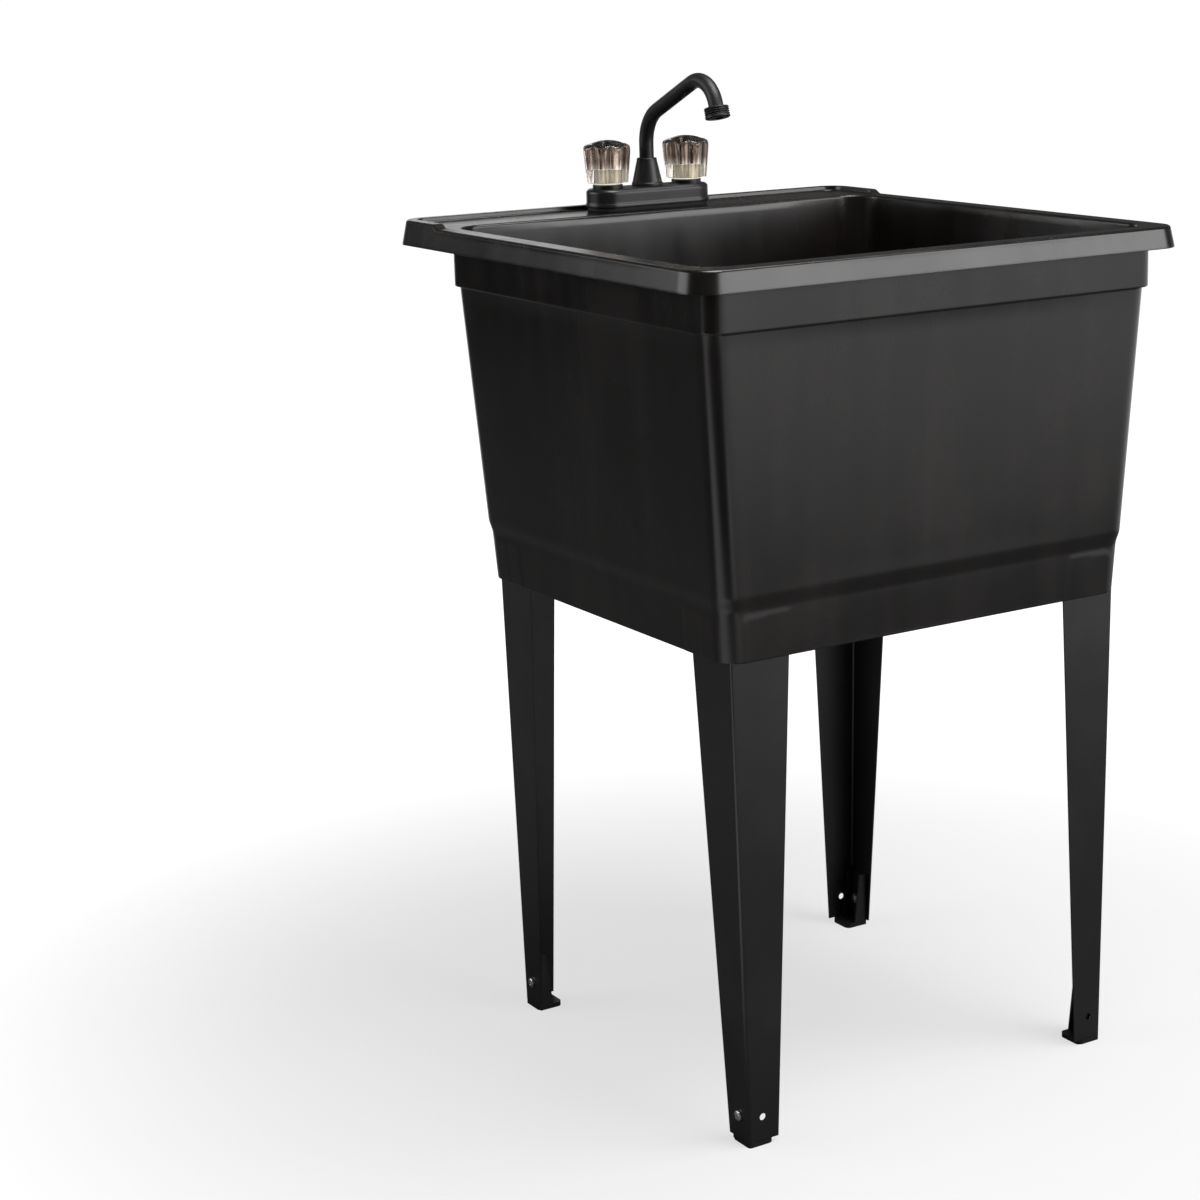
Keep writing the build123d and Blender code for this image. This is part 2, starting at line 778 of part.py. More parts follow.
# ---------------------------------------------------------------- tap body
chamber_floor = body_base + shank_seat
chamber_top = chamber_floor + chamber_height
spigot_bottom = body_top - spigot_depth
collar_top = spigot_bottom - thread_clearance * 4
ring_top = collar_top - spout_collar_height - thread_clearance * 4
bore_floor = ring_top - ring_section
waterway_height = chamber_floor + waterway_radius + edge_overlap
with BuildPart() as tap_gasket:
    with BuildSketch(Plane.XY.offset(rim_height)):
        with Locations((0, tap_y)):
            SlotOverall(tap_length - 2 * gasket_inset, tap_width - 2 * gasket_inset)
        with Locations((-tap_x, tap_y), (tap_x, tap_y)):
            Circle(shank_radius + shank_hole_clearance, mode=Mode.SUBTRACT)
    extrude(amount=gasket_height)
tap_gasket.part.label = "tap_gasket"
export_step(tap_gasket.part, "parts/tap_gasket.step")

with BuildPart() as tap_body:
    with BuildSketch(Plane.XY.offset(body_base)):
        with Locations((0, tap_y)):
            SlotOverall(tap_length, tap_width)
    extrude(amount=tap_body_height)
    fillet(tap_body.faces().sort_by(Axis.Z)[-1].edges(), tap_edge_radius)
    # Stem chambers, with the shanks' seats below and the collars' threads above.
    for stage_base, stage_top, stage_radius in (
        (body_base, chamber_floor, shank_radius + thread_clearance),
        (chamber_floor, chamber_top, chamber_radius),
        (chamber_top, body_top, neck_radius + thread_clearance),
    ):
        with BuildSketch(Plane.XY.offset(stage_base)):
            with Locations((-tap_x, tap_y), (tap_x, tap_y)):
                Circle(stage_radius)
        extrude(amount=stage_top - stage_base, mode=Mode.SUBTRACT)
    # Spout socket and the cross drilling that feeds it from both chambers.
    for stage_base, stage_top, stage_radius in (
        (chamber_floor, bore_floor, spout_radius + shaft_clearance),
        (bore_floor, body_top, spigot_radius + thread_clearance),
    ):
        with BuildSketch(Plane.XY.offset(stage_base)):
            with Locations((0, tap_y)):
                Circle(stage_radius)
        extrude(amount=stage_top - stage_base, mode=Mode.SUBTRACT)
    with BuildSketch(Plane.YZ.offset(-tap_x)):
        with Locations((tap_y, waterway_height)):
            Circle(waterway_radius)
    extrude(amount=2 * tap_x, mode=Mode.SUBTRACT)
tap_body.part.label = "tap_body"
export_step(tap_body.part, "parts/tap_body.step")

with BuildPart() as shank_washers:
    with BuildSketch(Plane.XY.offset(rim_underside)):
        with Locations((-tap_x, tap_y), (tap_x, tap_y)):
            Circle(washer_radius)
            Circle(shank_radius + drain_hole_clearance, mode=Mode.SUBTRACT)
    extrude(amount=-washer_thickness)
shank_washers.part.label = "shank_washers"
export_step(shank_washers.part, "parts/shank_washers.step")

with BuildPart() as shank_locknuts:
    with BuildSketch(Plane.XY.offset(rim_underside - washer_thickness)):
        with Locations((-tap_x, tap_y), (tap_x, tap_y)):
            Circle(locknut_radius)
            Rectangle(2 * locknut_wing, wall)
            Rectangle(wall, 2 * locknut_wing)
            Circle(shank_radius + thread_clearance, mode=Mode.SUBTRACT)
    extrude(amount=-locknut_height)
shank_locknuts.part.label = "shank_locknuts"
export_step(shank_locknuts.part, "parts/shank_locknuts.step")

# ---------------------------------------------------------------- valves and knobs
collar_base = body_top
insert_base = body_top + collar_height + insert_gap
insert_top = insert_base + insert_height
stem_top = insert_top - insert_crown
knob_top = knob_base + knob_height
dome_top = knob_top + knob_dome_rise
dome_sphere = (knob_dome_radius**2 + knob_dome_rise**2) / (2 * knob_dome_rise)
cap_seat = dome_top - knob_cap_thickness
screw_seat = cap_seat - knob_screw_head_height - drain_hole_clearance
screw_tip = stem_top - knob_screw_engagement
knob_taper = knob_radius_bottom / knob_radius_top


def lobed_plan(centre_x, height, scale):
    """Ring of round lobes about a knob's axis, their valleys softened."""
    pitch = (knob_radius_top - knob_lobe_radius) * scale
    with BuildSketch(Plane.XY.offset(height), mode=Mode.PRIVATE) as outline:
        with Locations((centre_x, tap_y)):
            Circle(pitch)
            with PolarLocations(pitch, knob_lobes):
                Circle(knob_lobe_radius * scale)
        valleys = outline.vertices().filter_by(
            lambda v: hypot(v.X - centre_x, v.Y - tap_y) < knob_radius_top * scale - knob_valley_radius
        )
        fillet(valleys, knob_valley_radius * scale)
    return outline.sketch


for name, side in (("hot", left), ("cold", right)):
    axis_x = side * tap_x
    valve_axis = Plane((axis_x, tap_y, 0))
    valve_line = Axis((axis_x, tap_y, 0), (0, 0, 1))

    with BuildPart() as shank:
        with BuildSketch(Plane.XY.offset(chamber_floor)):
            with Locations((axis_x, tap_y)):
                Circle(shank_radius)
                Circle(shank_bore_radius, mode=Mode.SUBTRACT)
        extrude(amount=-shank_length)
        chamfer(shank.faces().sort_by(Axis.Z)[0].outer_wire().edges(), edge_overlap)
        # Undercut between the locknut's thread and the supply nut's.
        with BuildSketch(Plane.XY.offset(rim_underside - washer_thickness - locknut_height)):
            with Locations((axis_x, tap_y)):
                Circle(shank_radius + edge_overlap)
                Circle(shank_radius - shank_undercut_depth, mode=Mode.SUBTRACT)
        extrude(amount=-shank_undercut, mode=Mode.SUBTRACT)
    shank.part.label = f"{name}_shank"
    export_step(shank.part, f"parts/{name}_shank.step")

    with BuildPart() as collar:
        profile = turned(
            valve_axis,
            [
                (chamber_top, stem_radius + shaft_clearance),
                (chamber_top, neck_radius),
                (collar_base, neck_radius),
                (collar_base, collar_radius),
                (collar_base + collar_height * 0.7, collar_radius),
                (collar_base + collar_height, collar_radius - collar_height * 0.3),
                (collar_base + collar_height, stem_radius + shaft_clearance),
            ],
        )
        revolve(profile, axis=valve_line)
    collar.part.label = f"{name}_collar"
    export_step(collar.part, f"parts/{name}_collar.step")

    with BuildPart() as stem:
        disc_base = chamber_floor + edge_overlap * 2
        profile = turned(
            valve_axis,
            [
                (disc_base, 0),
                (disc_base, chamber_radius - drain_hole_clearance),
                (disc_base + disc_thickness, chamber_radius - drain_hole_clearance),
                (disc_base + disc_thickness, stem_radius),
                (stem_top, stem_radius),
                (stem_top, knob_screw_radius + thread_clearance),
                (screw_tip - edge_overlap, knob_screw_radius + thread_clearance),
                (screw_tip - edge_overlap, 0),
            ],
        )
        revolve(profile, axis=valve_line)
    stem.part.label = f"{name}_stem"
    export_step(stem.part, f"parts/{name}_stem.step")

    with BuildPart() as insert:
        profile = turned(
            valve_axis,
            [
                (insert_base, stem_radius + thread_clearance),
                (insert_base, insert_radius),
                (insert_top, insert_radius),
                (insert_top, knob_screw_radius + thread_clearance),
                (stem_top, knob_screw_radius + thread_clearance),
                (stem_top, stem_radius + thread_clearance),
            ],
        )
        revolve(profile, axis=valve_line)
    insert.part.label = f"{name}_knob_insert"
    export_step(insert.part, f"parts/{name}_knob_insert.step")

    with BuildPart() as knob:
        loft(
            [
                lobed_plan(axis_x, knob_base, knob_taper),
                lobed_plan(axis_x, dome_top, 1 + (1 - knob_taper) * knob_dome_rise / knob_height),
            ],
            ruled=True,
        )
        # Round shoulder over the lobes, then the low dome.
        across = Plane(origin=valve_axis.origin, x_dir=(0, 0, 1), z_dir=valve_axis.y_dir)
        with BuildSketch(across):
            with BuildLine():
                shoulder = (knob_top - knob_shoulder, knob_radius_top)
                brow = (knob_top, knob_dome_radius)
                Polyline((knob_base, 0), (knob_base, knob_radius_top), shoulder)
                ThreePointArc(
                    shoulder,
                    (
                        knob_top - knob_shoulder * (1 - sin(radians(45))),
                        knob_dome_radius + (knob_radius_top - knob_dome_radius) * sin(radians(45)),
                    ),
                    brow,
                )
                RadiusArc(brow, (dome_top, 0), dome_sphere)
                Line((dome_top, 0), (knob_base, 0))
            make_face()
        revolve(axis=valve_line, mode=Mode.INTERSECT)
        # Insert pocket below; cap pocket, screw seat and screw hole above.
        for stage_base, stage_top, stage_radius in (
            (knob_base, insert_top, insert_radius + thread_clearance),
            (insert_top, dome_top, knob_screw_radius + drain_hole_clearance),
            (screw_seat, dome_top, knob_screw_head_radius + drain_hole_clearance),
            (cap_seat, dome_top + edge_overlap, knob_cap_radius + thread_clearance),
        ):
            with BuildSketch(Plane.XY.offset(stage_base)):
                with Locations((axis_x, tap_y)):
                    Circle(stage_radius)
            extrude(amount=stage_top - stage_base, mode=Mode.SUBTRACT)
    knob.part.label = f"{name}_knob"
    export_step(knob.part, f"parts/{name}_knob.step")

    with BuildPart() as knob_screw:
        profile = turned(
            valve_axis,
            [
                (screw_tip, 0),
                (screw_tip, knob_screw_radius),
                (screw_seat, knob_screw_radius),
                (screw_seat, knob_screw_head_radius),
                (screw_seat + knob_screw_head_height, knob_screw_head_radius * 0.8),
                (screw_seat + knob_screw_head_height, 0),
            ],
        )
        revolve(profile, axis=valve_line)
    knob_screw.part.label = f"{name}_knob_screw"
    export_step(knob_screw.part, f"parts/{name}_knob_screw.step")

    with BuildPart() as knob_cap:
        cap_drop = dome_sphere - sqrt(dome_sphere**2 - knob_cap_radius**2)
        with BuildSketch(across):
            with BuildLine():
                Polyline((dome_top, 0), (cap_seat, 0), (cap_seat, knob_cap_radius))
                Line((cap_seat, knob_cap_radius), (dome_top - cap_drop, knob_cap_radius))
                RadiusArc((dome_top - cap_drop, knob_cap_radius), (dome_top, 0), dome_sphere)
            make_face()
        revolve(axis=valve_line)
    knob_cap.part.label = f"{name}_knob_cap"
    export_step(knob_cap.part, f"parts/{name}_knob_cap.step")

# ---------------------------------------------------------------- spout
spout_axis = Plane((0, tap_y, 0))
spout_line = Axis((0, tap_y, 0), (0, 0, 1))
first_corner_z = rim_height + spout_corner_height
second_corner_y = tap_y - spout_reach
second_corner_z = first_corner_z + spout_reach * tan(radians(spout_slope))
tilt = radians(spout_tilt)
end_y = second_corner_y - spout_drop * sin(tilt)
end_z = second_corner_z - spout_drop * cos(tilt)
with BuildPart() as spout_nut:
    profile = turned(
        spout_axis,
        [
            (spigot_bottom, spout_radius + shaft_clearance),
            (spigot_bottom, spigot_radius),
            (body_top, spigot_radius),
            (body_top, spout_nut_radius),
            (body_top + edge_overlap, spout_nut_radius),
            (body_top + spout_nut_height - edge_overlap, spout_nut_top_radius),
            (body_top + spout_nut_height, spout_nut_top_radius - edge_overlap),
            (body_top + spout_nut_height, spout_radius + shaft_clearance),
        ],
    )
    revolve(profile, axis=spout_line)
spout_nut.part.label = "spout_nut"
export_step(spout_nut.part, "parts/spout_nut.step")

spout_foot = waterway_height + waterway_radius
with BuildPart() as spout:
    with BuildLine() as spout_path:
        FilletPolyline(
            (0, tap_y, spout_foot),
            (0, tap_y, first_corner_z),
            (0, second_corner_y, second_corner_z),
            (0, end_y, end_z),
            radius=[spout_first_bend, spout_second_bend],
        )
    with BuildSketch(Plane((0, tap_y, spout_foot))):
        Circle(spout_radius)
        Circle(spout_radius - spout_wall, mode=Mode.SUBTRACT)
    sweep(path=spout_path.line)
    # Swaged collar that the spout nut holds down.
    with BuildSketch(Plane.XY.offset(collar_top)):
        with Locations((0, tap_y)):
            Circle(spout_collar_radius)
            Circle(spout_radius - spout_wall / 2, mode=Mode.SUBTRACT)
    extrude(amount=-spout_collar_height)
spout.part.label = "spout"
export_step(spout.part, "parts/spout.step")

with BuildPart() as spout_ring:
    with BuildSketch(Plane.XY.offset(bore_floor)):
        with Locations((0, tap_y)):
            Circle(spout_collar_radius)
            Circle(spout_radius + shaft_clearance, mode=Mode.SUBTRACT)
    extrude(amount=ring_section)
    fillet(spout_ring.edges(), ring_section * 0.3)
spout_ring.part.label = "spout_ring"
export_step(spout_ring.part, "parts/spout_ring.step")

outlet_plane = Plane(origin=(0, end_y, end_z), x_dir=(1, 0, 0), z_dir=(0, -sin(tilt), -cos(tilt)))
with BuildPart() as hose_outlet:
    exit_end = outlet_length - outlet_socket
    profile = turned(
        outlet_plane,
        [
            (-outlet_socket, spout_radius + outlet_socket_clearance),
            (-outlet_socket, outlet_radius - outlet_chamfer),
            (-outlet_socket + outlet_chamfer, outlet_radius),
            (exit_end - outlet_chamfer, outlet_radius),
            (exit_end, outlet_radius - outlet_chamfer),
            (exit_end, outlet_bore_radius),
            (thread_clearance, outlet_bore_radius),
            (thread_clearance, spout_radius + outlet_socket_clearance),
        ],
    )
    revolve(profile, axis=Axis(outlet_plane.origin, outlet_plane.z_dir))
hose_outlet.part.label = "hose_outlet"
export_step(hose_outlet.part, "parts/hose_outlet.step")
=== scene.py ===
import json
import logging
from dataclasses import dataclass, field
from enum import Enum
from math import cos, pi, radians, sin, tan, tau

import bmesh
import bpy
import numpy as np
from mathutils import Matrix, Vector


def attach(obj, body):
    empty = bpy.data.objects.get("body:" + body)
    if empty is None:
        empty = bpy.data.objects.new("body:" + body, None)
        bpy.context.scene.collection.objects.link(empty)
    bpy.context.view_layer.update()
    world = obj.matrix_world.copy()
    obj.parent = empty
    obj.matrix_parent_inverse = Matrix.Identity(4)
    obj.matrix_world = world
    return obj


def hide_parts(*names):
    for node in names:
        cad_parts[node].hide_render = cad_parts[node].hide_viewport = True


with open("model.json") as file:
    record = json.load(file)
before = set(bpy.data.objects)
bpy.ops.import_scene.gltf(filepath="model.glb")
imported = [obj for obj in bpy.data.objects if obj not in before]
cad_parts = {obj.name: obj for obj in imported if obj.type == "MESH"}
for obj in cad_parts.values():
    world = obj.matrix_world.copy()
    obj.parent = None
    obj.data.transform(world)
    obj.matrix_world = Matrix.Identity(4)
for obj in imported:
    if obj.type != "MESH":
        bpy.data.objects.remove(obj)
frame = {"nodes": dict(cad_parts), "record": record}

logging.basicConfig(level=logging.INFO, format="%(message)s")
log = logging.getLogger("laundry_sink")

MM = 0.001
WELD = 2e-7
TAP_Y = 251.0
Pair = tuple[float, float]
Triple = tuple[float, float, float]
Colour = Triple
BLACK: Colour = (0.0, 0.0, 0.0)
WHITE: Colour = (1.0, 1.0, 1.0)


# ---------------------------------------------------------------- shader wiring
class Wire:
    """A number socket of a node tree; Python's operators on it add Math nodes."""

    def __init__(self, shader: "NodeTree", socket: bpy.types.NodeSocket) -> None:
        """Keep the socket and the node tree that it belongs to."""
        self.shader = shader
        self.socket = socket

    def _math(self, operation: str, *operands: "Wire | float") -> "Wire":
        """Add one Math node, given its operation and its inputs in order."""
        inputs = dict(enumerate(operands))
        return self.shader.number("ShaderNodeMath", {"operation": operation}, inputs)

    def __add__(self, other: "Wire | float") -> "Wire":
        """Sum of two values."""
        return self._math("ADD", self, other)

    __radd__ = __add__

    def __sub__(self, other: "Wire | float") -> "Wire":
        """Difference of two values."""
        return self._math("SUBTRACT", self, other)

    def __rsub__(self, other: float) -> "Wire":
        """Difference with the number on the left."""
        return self._math("SUBTRACT", other, self)

    def __mul__(self, other: "Wire | float") -> "Wire":
        """Product of two values."""
        return self._math("MULTIPLY", self, other)

    __rmul__ = __mul__

    def __pow__(self, other: "Wire | float") -> "Wire":
        """Value raised to a power."""
        return self._math("POWER", self, other)

    def __rpow__(self, other: float) -> "Wire":
        """Power with the number as its base."""
        return self._math("POWER", other, self)

    def absolute(self) -> "Wire":
        """Size of the value without its sign."""
        return self._math("ABSOLUTE", self)

    def sine(self) -> "Wire":
        """Sine of the value in radians."""
        return self._math("SINE", self)

    def angle_over(self, other: "Wire") -> "Wire":
        """Angle whose tangent is this value over the other, in radians, all the way round."""
        return self._math("ARCTAN2", self, other)

    def most(self, other: "Wire | float") -> "Wire":
        """Larger of two values."""
        return self._math("MAXIMUM", self, other)

    def ramp(self, low: float, high: float) -> "Wire":
        """Smooth step from 0 at low to 1 at high."""
        settings = {"interpolation_type": "SMOOTHSTEP"}
        return self.shader.number("ShaderNodeMapRange", settings, {0: self, 1: low, 2: high})


class NodeTree:
    """A node tree and the one way that nodes are added to it."""

    def __init__(self, tree: bpy.types.NodeTree) -> None:
        """Keep the tree."""
        self.tree = tree

    def node(self, kind: str, settings: dict, inputs: dict) -> bpy.types.Node:
        """Add one node.

        Args:
            kind: the node's type.
            settings: its properties, set before its sockets.
            inputs: socket name or number to a value, a wire or a socket.

        Returns:
            The node.
        """
        made = self.tree.nodes.new(kind)
        for key, value in settings.items():
            setattr(made, key, value)
        for key, value in inputs.items():
            self.join(made.inputs[key], value)
        return made

    def join(self, socket: bpy.types.NodeSocket, value: object) -> None:
        """Link or set an input.

        Args:
            socket: the input.
            value: a wire or an output socket to link, or a plain value to set.
        """
        source = value.socket if isinstance(value, Wire) else value
        if isinstance(source, bpy.types.NodeSocket):
            self.tree.links.new(source, socket)
        else:
            socket.default_value = source

    def number(self, kind: str, settings: dict, inputs: dict) -> Wire:
        """Add a node and return its first output as a number wire."""
        return Wire(self, self.node(kind, settings, inputs).outputs[0])

    def ray(self, kind: str) -> Wire:
        """Whether a ray is of one kind, as 0 or 1, from the Light Path node."""
        return Wire(self, self.node("ShaderNodeLightPath", {}, {}).outputs[f"Is {kind} Ray"])

    def place(self, space: str = "Object") -> bpy.types.NodeSocket:
        """Coordinates in a space; an object's own are metres in the part's frame."""
        return self.node("ShaderNodeTexCoord", {}, {}).outputs[space]

    def axes(self, space: str = "Object") -> tuple[Wire, ...]:
        """The three coordinates in a space as number wires."""
        split = self.node("ShaderNodeSeparateXYZ", {}, {0: self.place(space)})
        return tuple(Wire(self, out) for out in split.outputs)


def opaque(value: object) -> object:
    """A plain colour with full alpha; a number, a wire or a socket as it is."""
    return (*value, 1.0) if isinstance(value, tuple) else value


class Shader(NodeTree):
    """A new material and its node tree, with one Principled surface."""

    def __init__(self, name: str) -> None:
        """Make the material with an empty tree but for its surface and output.

        Args:
            name: the material's name.
        """
        self.material = bpy.data.materials.new(name)
        self.material.use_nodes = True
        super().__init__(self.material.node_tree)
        self.tree.nodes.clear()
        self.surface = self.node("ShaderNodeBsdfPrincipled", {}, {})
        self.node("ShaderNodeOutputMaterial", {}, {"Surface": self.surface.outputs["BSDF"]})

    def noise(self, scale: float | tuple, detail: float = 3.0, roughness: float = 0.5) -> Wire:
        """Smooth noise between 0 and 1 on the object's coordinates.

        Args:
            scale: cells per metre, or cells per metre on each axis for streaks and brushing.
            detail: octaves of finer noise.
            roughness: weight of the finer octaves.

        Returns:
            The noise value.
        """
        where = self.place()
        if isinstance(scale, tuple):
            where = self.node("ShaderNodeMapping", {}, {"Vector": where, "Scale": scale}).outputs[0]
            scale = 1.0
        inputs = {"Vector": where, "Scale": scale, "Detail": detail, "Roughness": roughness}
        return self.number("ShaderNodeTexNoise", {}, inputs)

    def mix(self, share: Wire, low: object, high: object) -> bpy.types.NodeSocket:
        """Blend of two colours or colour sockets: share 0 gives low and 1 gives high."""
        inputs = {0: share, 6: opaque(low), 7: opaque(high)}
        return self.node("ShaderNodeMix", {"data_type": "RGBA"}, inputs).outputs[2]

    def bump(self, height: Wire, depth: float, strength: float = 1.0) -> None:
        """Raise the surface's normal by a height from 0 to 1 over a depth in metres."""
        inputs = {"Height": height, "Distance": depth, "Strength": strength}
        self.set(Normal=self.node("ShaderNodeBump", {}, inputs).outputs[0])

    def set(self, **inputs: object) -> None:
        """Set the surface's sockets by name, with underscores for spaces."""
        for key, value in inputs.items():
            self.join(self.surface.inputs[key.replace("_", " ")], opaque(value))


# ---------------------------------------------------------------- finishes
def uneven(middle: float, first: Wire, second: Wire, sheen: Triple) -> Wire:
    """Roughness that wanders: first a + second b + (middle - c), where sheen gives a, b and c."""
    return first * sheen[0] + second * sheen[1] + (middle - sheen[2])


@dataclass(frozen=True)
class MouldedPlastic:
    """Dense moulded plastic: fine grain, upright flow marks and an uneven sheen."""

    name: str
    colour: Colour
    worn: Colour
    roughness: float = 0.4
    sheen: Triple = (0.2, 0.08, 0.14)
    density: float = 1.5
    cloud: Triple = (7.0, 3.0, 0.55)
    cloud_fade: Pair = (0.38, 0.72)
    flow: Triple = (38.0, 38.0, 1.6)
    flow_fade: Pair = (0.42, 0.72)
    flow_share: float = 0.4
    grain: float = 900.0
    grain_share: float = 0.5
    grain_depth: float = 0.00003
    wave: Triple = (19.0, 19.0, 0.7)
    wave_depth: float = 0.0
    # Emission strength: a painted glow, for a piece that is no lamp.
    glow: float = 0.0

    def build(self) -> bpy.types.Material:
        """Make the material.

        Returns:
            The material, whose haze of clouds and flow marks leads to the worn colour.
        """
        shader = Shader(self.name)
        cloud = shader.noise(*self.cloud)
        flow = shader.noise(self.flow, 1.0)
        haze = cloud.ramp(*self.cloud_fade) * (1 - self.flow_share)
        haze = haze + flow.ramp(*self.flow_fade) * self.flow_share
        colour = shader.mix(haze, self.colour, self.worn)
        rough = uneven(self.roughness, cloud, flow, self.sheen)
        shader.set(Base_Color=colour, Roughness=rough, IOR=self.density)
        # Painted glow: the colour also shines as emission, though the piece is no lamp.
        if self.glow:
            shader.set(Emission_Color=colour, Emission_Strength=self.glow)
        height = shader.noise(self.grain, 2.0) * self.grain_share
        if self.wave_depth:
            height = shader.noise(self.wave, 0.0) * (self.wave_depth / self.grain_depth) + height
        shader.bump(height, self.grain_depth)
        return shader.material


@dataclass(frozen=True)
class PowderCoat:
    """Satin powder coat on steel: an orange-peel surface over a dark colour."""

    name: str
    colour: Colour
    worn: Colour
    roughness: float = 0.38
    sheen: Triple = (0.12, 0.06, 0.08)
    density: float = 1.5
    cloud: float = 9.0
    cloud_fade: Pair = (0.4, 0.8)
    peel: Triple = (420.0, 1.0, 0.4)
    peel_depth: Pair = (0.00004, 0.5)

    def build(self) -> bpy.types.Material:
        """Make the material.

        Returns:
            The material, whose clouds lead to the worn colour.
        """
        shader = Shader(self.name)
        cloud, peel = shader.noise(self.cloud), shader.noise(*self.peel)
        shader.set(Base_Color=shader.mix(cloud.ramp(*self.cloud_fade), self.colour, self.worn))
        shader.set(Roughness=uneven(self.roughness, cloud, peel, self.sheen), IOR=self.density)
        shader.bump(peel, *self.peel_depth)
        return shader.material


@dataclass(frozen=True)
class PlainMetal:
    """Bare or plated metal with fine marks of its making."""

    name: str
    colour: Colour
    dull: Colour
    roughness: float = 0.25
    sheen: Triple = (0.15, 0.1, 0.1)
    cloud: float = 120.0
    cloud_fade: Pair = (0.35, 0.8)
    marks: Triple = (200.0, 200.0, 2500.0)
    mark_detail: Pair = (3.0, 0.6)
    mark_depth: Pair = (0.00001, 0.4)

    def build(self) -> bpy.types.Material:
        """Make the material.

        Returns:
            The material, whose clouds lead to the dull colour.
        """
        shader = Shader(self.name)
        marks, cloud = shader.noise(self.marks, *self.mark_detail), shader.noise(self.cloud)
        shader.set(Base_Color=shader.mix(cloud.ramp(*self.cloud_fade), self.colour, self.dull))
        shader.set(Metallic=1.0, Roughness=uneven(self.roughness, marks, cloud, self.sheen))
        shader.bump(marks, *self.mark_depth)
        return shader.material


@dataclass(frozen=True)
class SmokeAcrylic:
    """Clear smoke-brown acrylic, with painted shade in the valleys, in streaks and over the
    shoulder.
    """

    name: str
    tint: Colour
    pale: Colour
    # Painted shade colour, for the valleys, the streaks and the shoulder.
    deep: Colour
    # Painted light: a paler colour that the foot turns to, where the insert shows through.
    clear: Colour
    density: float = 1.49
    axis_x: float = 0.0508
    axis_y: float = 0.251
    lobes: int = 8
    # Where the painted shade falls: valleys, shoulder band and upright streaks; and where the foot
    # is painted paler.
    valley_fade: Pair = (0.1, 0.8)
    shoulder: Pair = (0.929, 0.9365)
    crown: Pair = (0.0165, 0.0205)
    shoulder_share: float = 0.85
    streak: Triple = (260.0, 260.0, 14.0)
    streak_fade: Pair = (0.46, 0.57)
    streak_share: float = 0.9
    clear_foot: Pair = (0.904, 0.920)
    clear_share: float = 0.8
    foot_share: float = 0.4
    ripple: float = 140.0
    ripple_fade: Pair = (0.35, 0.7)
    ripple_depth: Pair = (0.00006, 0.4)
    ripple_sheen: Pair = (0.03, 0.01)

    def build(self) -> bpy.types.Material:
        """Make the material.

        Returns:
            The material, whose painted shade deepens with cos(8a) round each knob's own axis.
        """
        shader = Shader(self.name)
        ripple = shader.noise(self.ripple, 2.0)
        x, y, z = shader.axes()
        x, y = x.absolute() - self.axis_x, y - self.axis_y
        # Painted shade mask: cos(8a), darkest in the valleys between the lobes.
        valley = (y.angle_over(x) * self.lobes + pi / 2).sine()
        reach = (x * x + y * y) ** 0.5
        shoulder = z.ramp(*self.shoulder) * reach.ramp(*self.crown)
        streak = shader.noise(self.streak, 2.0).ramp(*self.streak_fade)
        low = 1 - z.ramp(*self.clear_foot)
        # Painted shade in the valleys and streaks, less of it at the foot, and over the shoulder.
        deep = (0 - valley).ramp(*self.valley_fade).most(streak * self.streak_share)
        deep = (deep * (1 - low * self.foot_share)).most(shoulder * self.shoulder_share)
        tint = shader.mix(ripple.ramp(*self.ripple_fade), self.tint, self.pale)
        # Painted light: the tint turns paler towards the foot.
        tint = shader.mix(low * self.clear_share, tint, self.clear)
        gain, rough = self.ripple_sheen
        # The painted shade darkens the tint.
        shader.set(Base_Color=shader.mix(deep, tint, self.deep), Roughness=ripple * gain + rough)
        shader.set(Transmission_Weight=1.0, IOR=self.density)
        shader.bump(ripple, *self.ripple_depth)
        return shader.material


@dataclass(frozen=True)
class Rubber:
    """Matte rubber with a dusty bloom."""

    name: str
    colour: Colour
    bloom: Colour
    cloud: Pair = (60.0, 4.0)
    cloud_fade: Pair = (0.4, 0.8)
    sheen: Pair = (0.15, 0.65)
    dust: float = 1500.0
    dust_depth: Pair = (0.00003, 0.5)

    def build(self) -> bpy.types.Material:
        """Make the material.

        Returns:
            The material, whose clouds lead to the bloom.
        """
        shader = Shader(self.name)
        cloud = shader.noise(*self.cloud)
        shader.set(Base_Color=shader.mix(cloud.ramp(*self.cloud_fade), self.colour, self.bloom))
        shader.set(Roughness=cloud * self.sheen[0] + self.sheen[1])
        shader.bump(shader.noise(self.dust), *self.dust_depth)
        return shader.material


# ---------------------------------------------------------------- mesh building
@dataclass(frozen=True)
class Look:
    """A finish's material and the record slot that it stands for."""

    material: bpy.types.Material
    slot: str


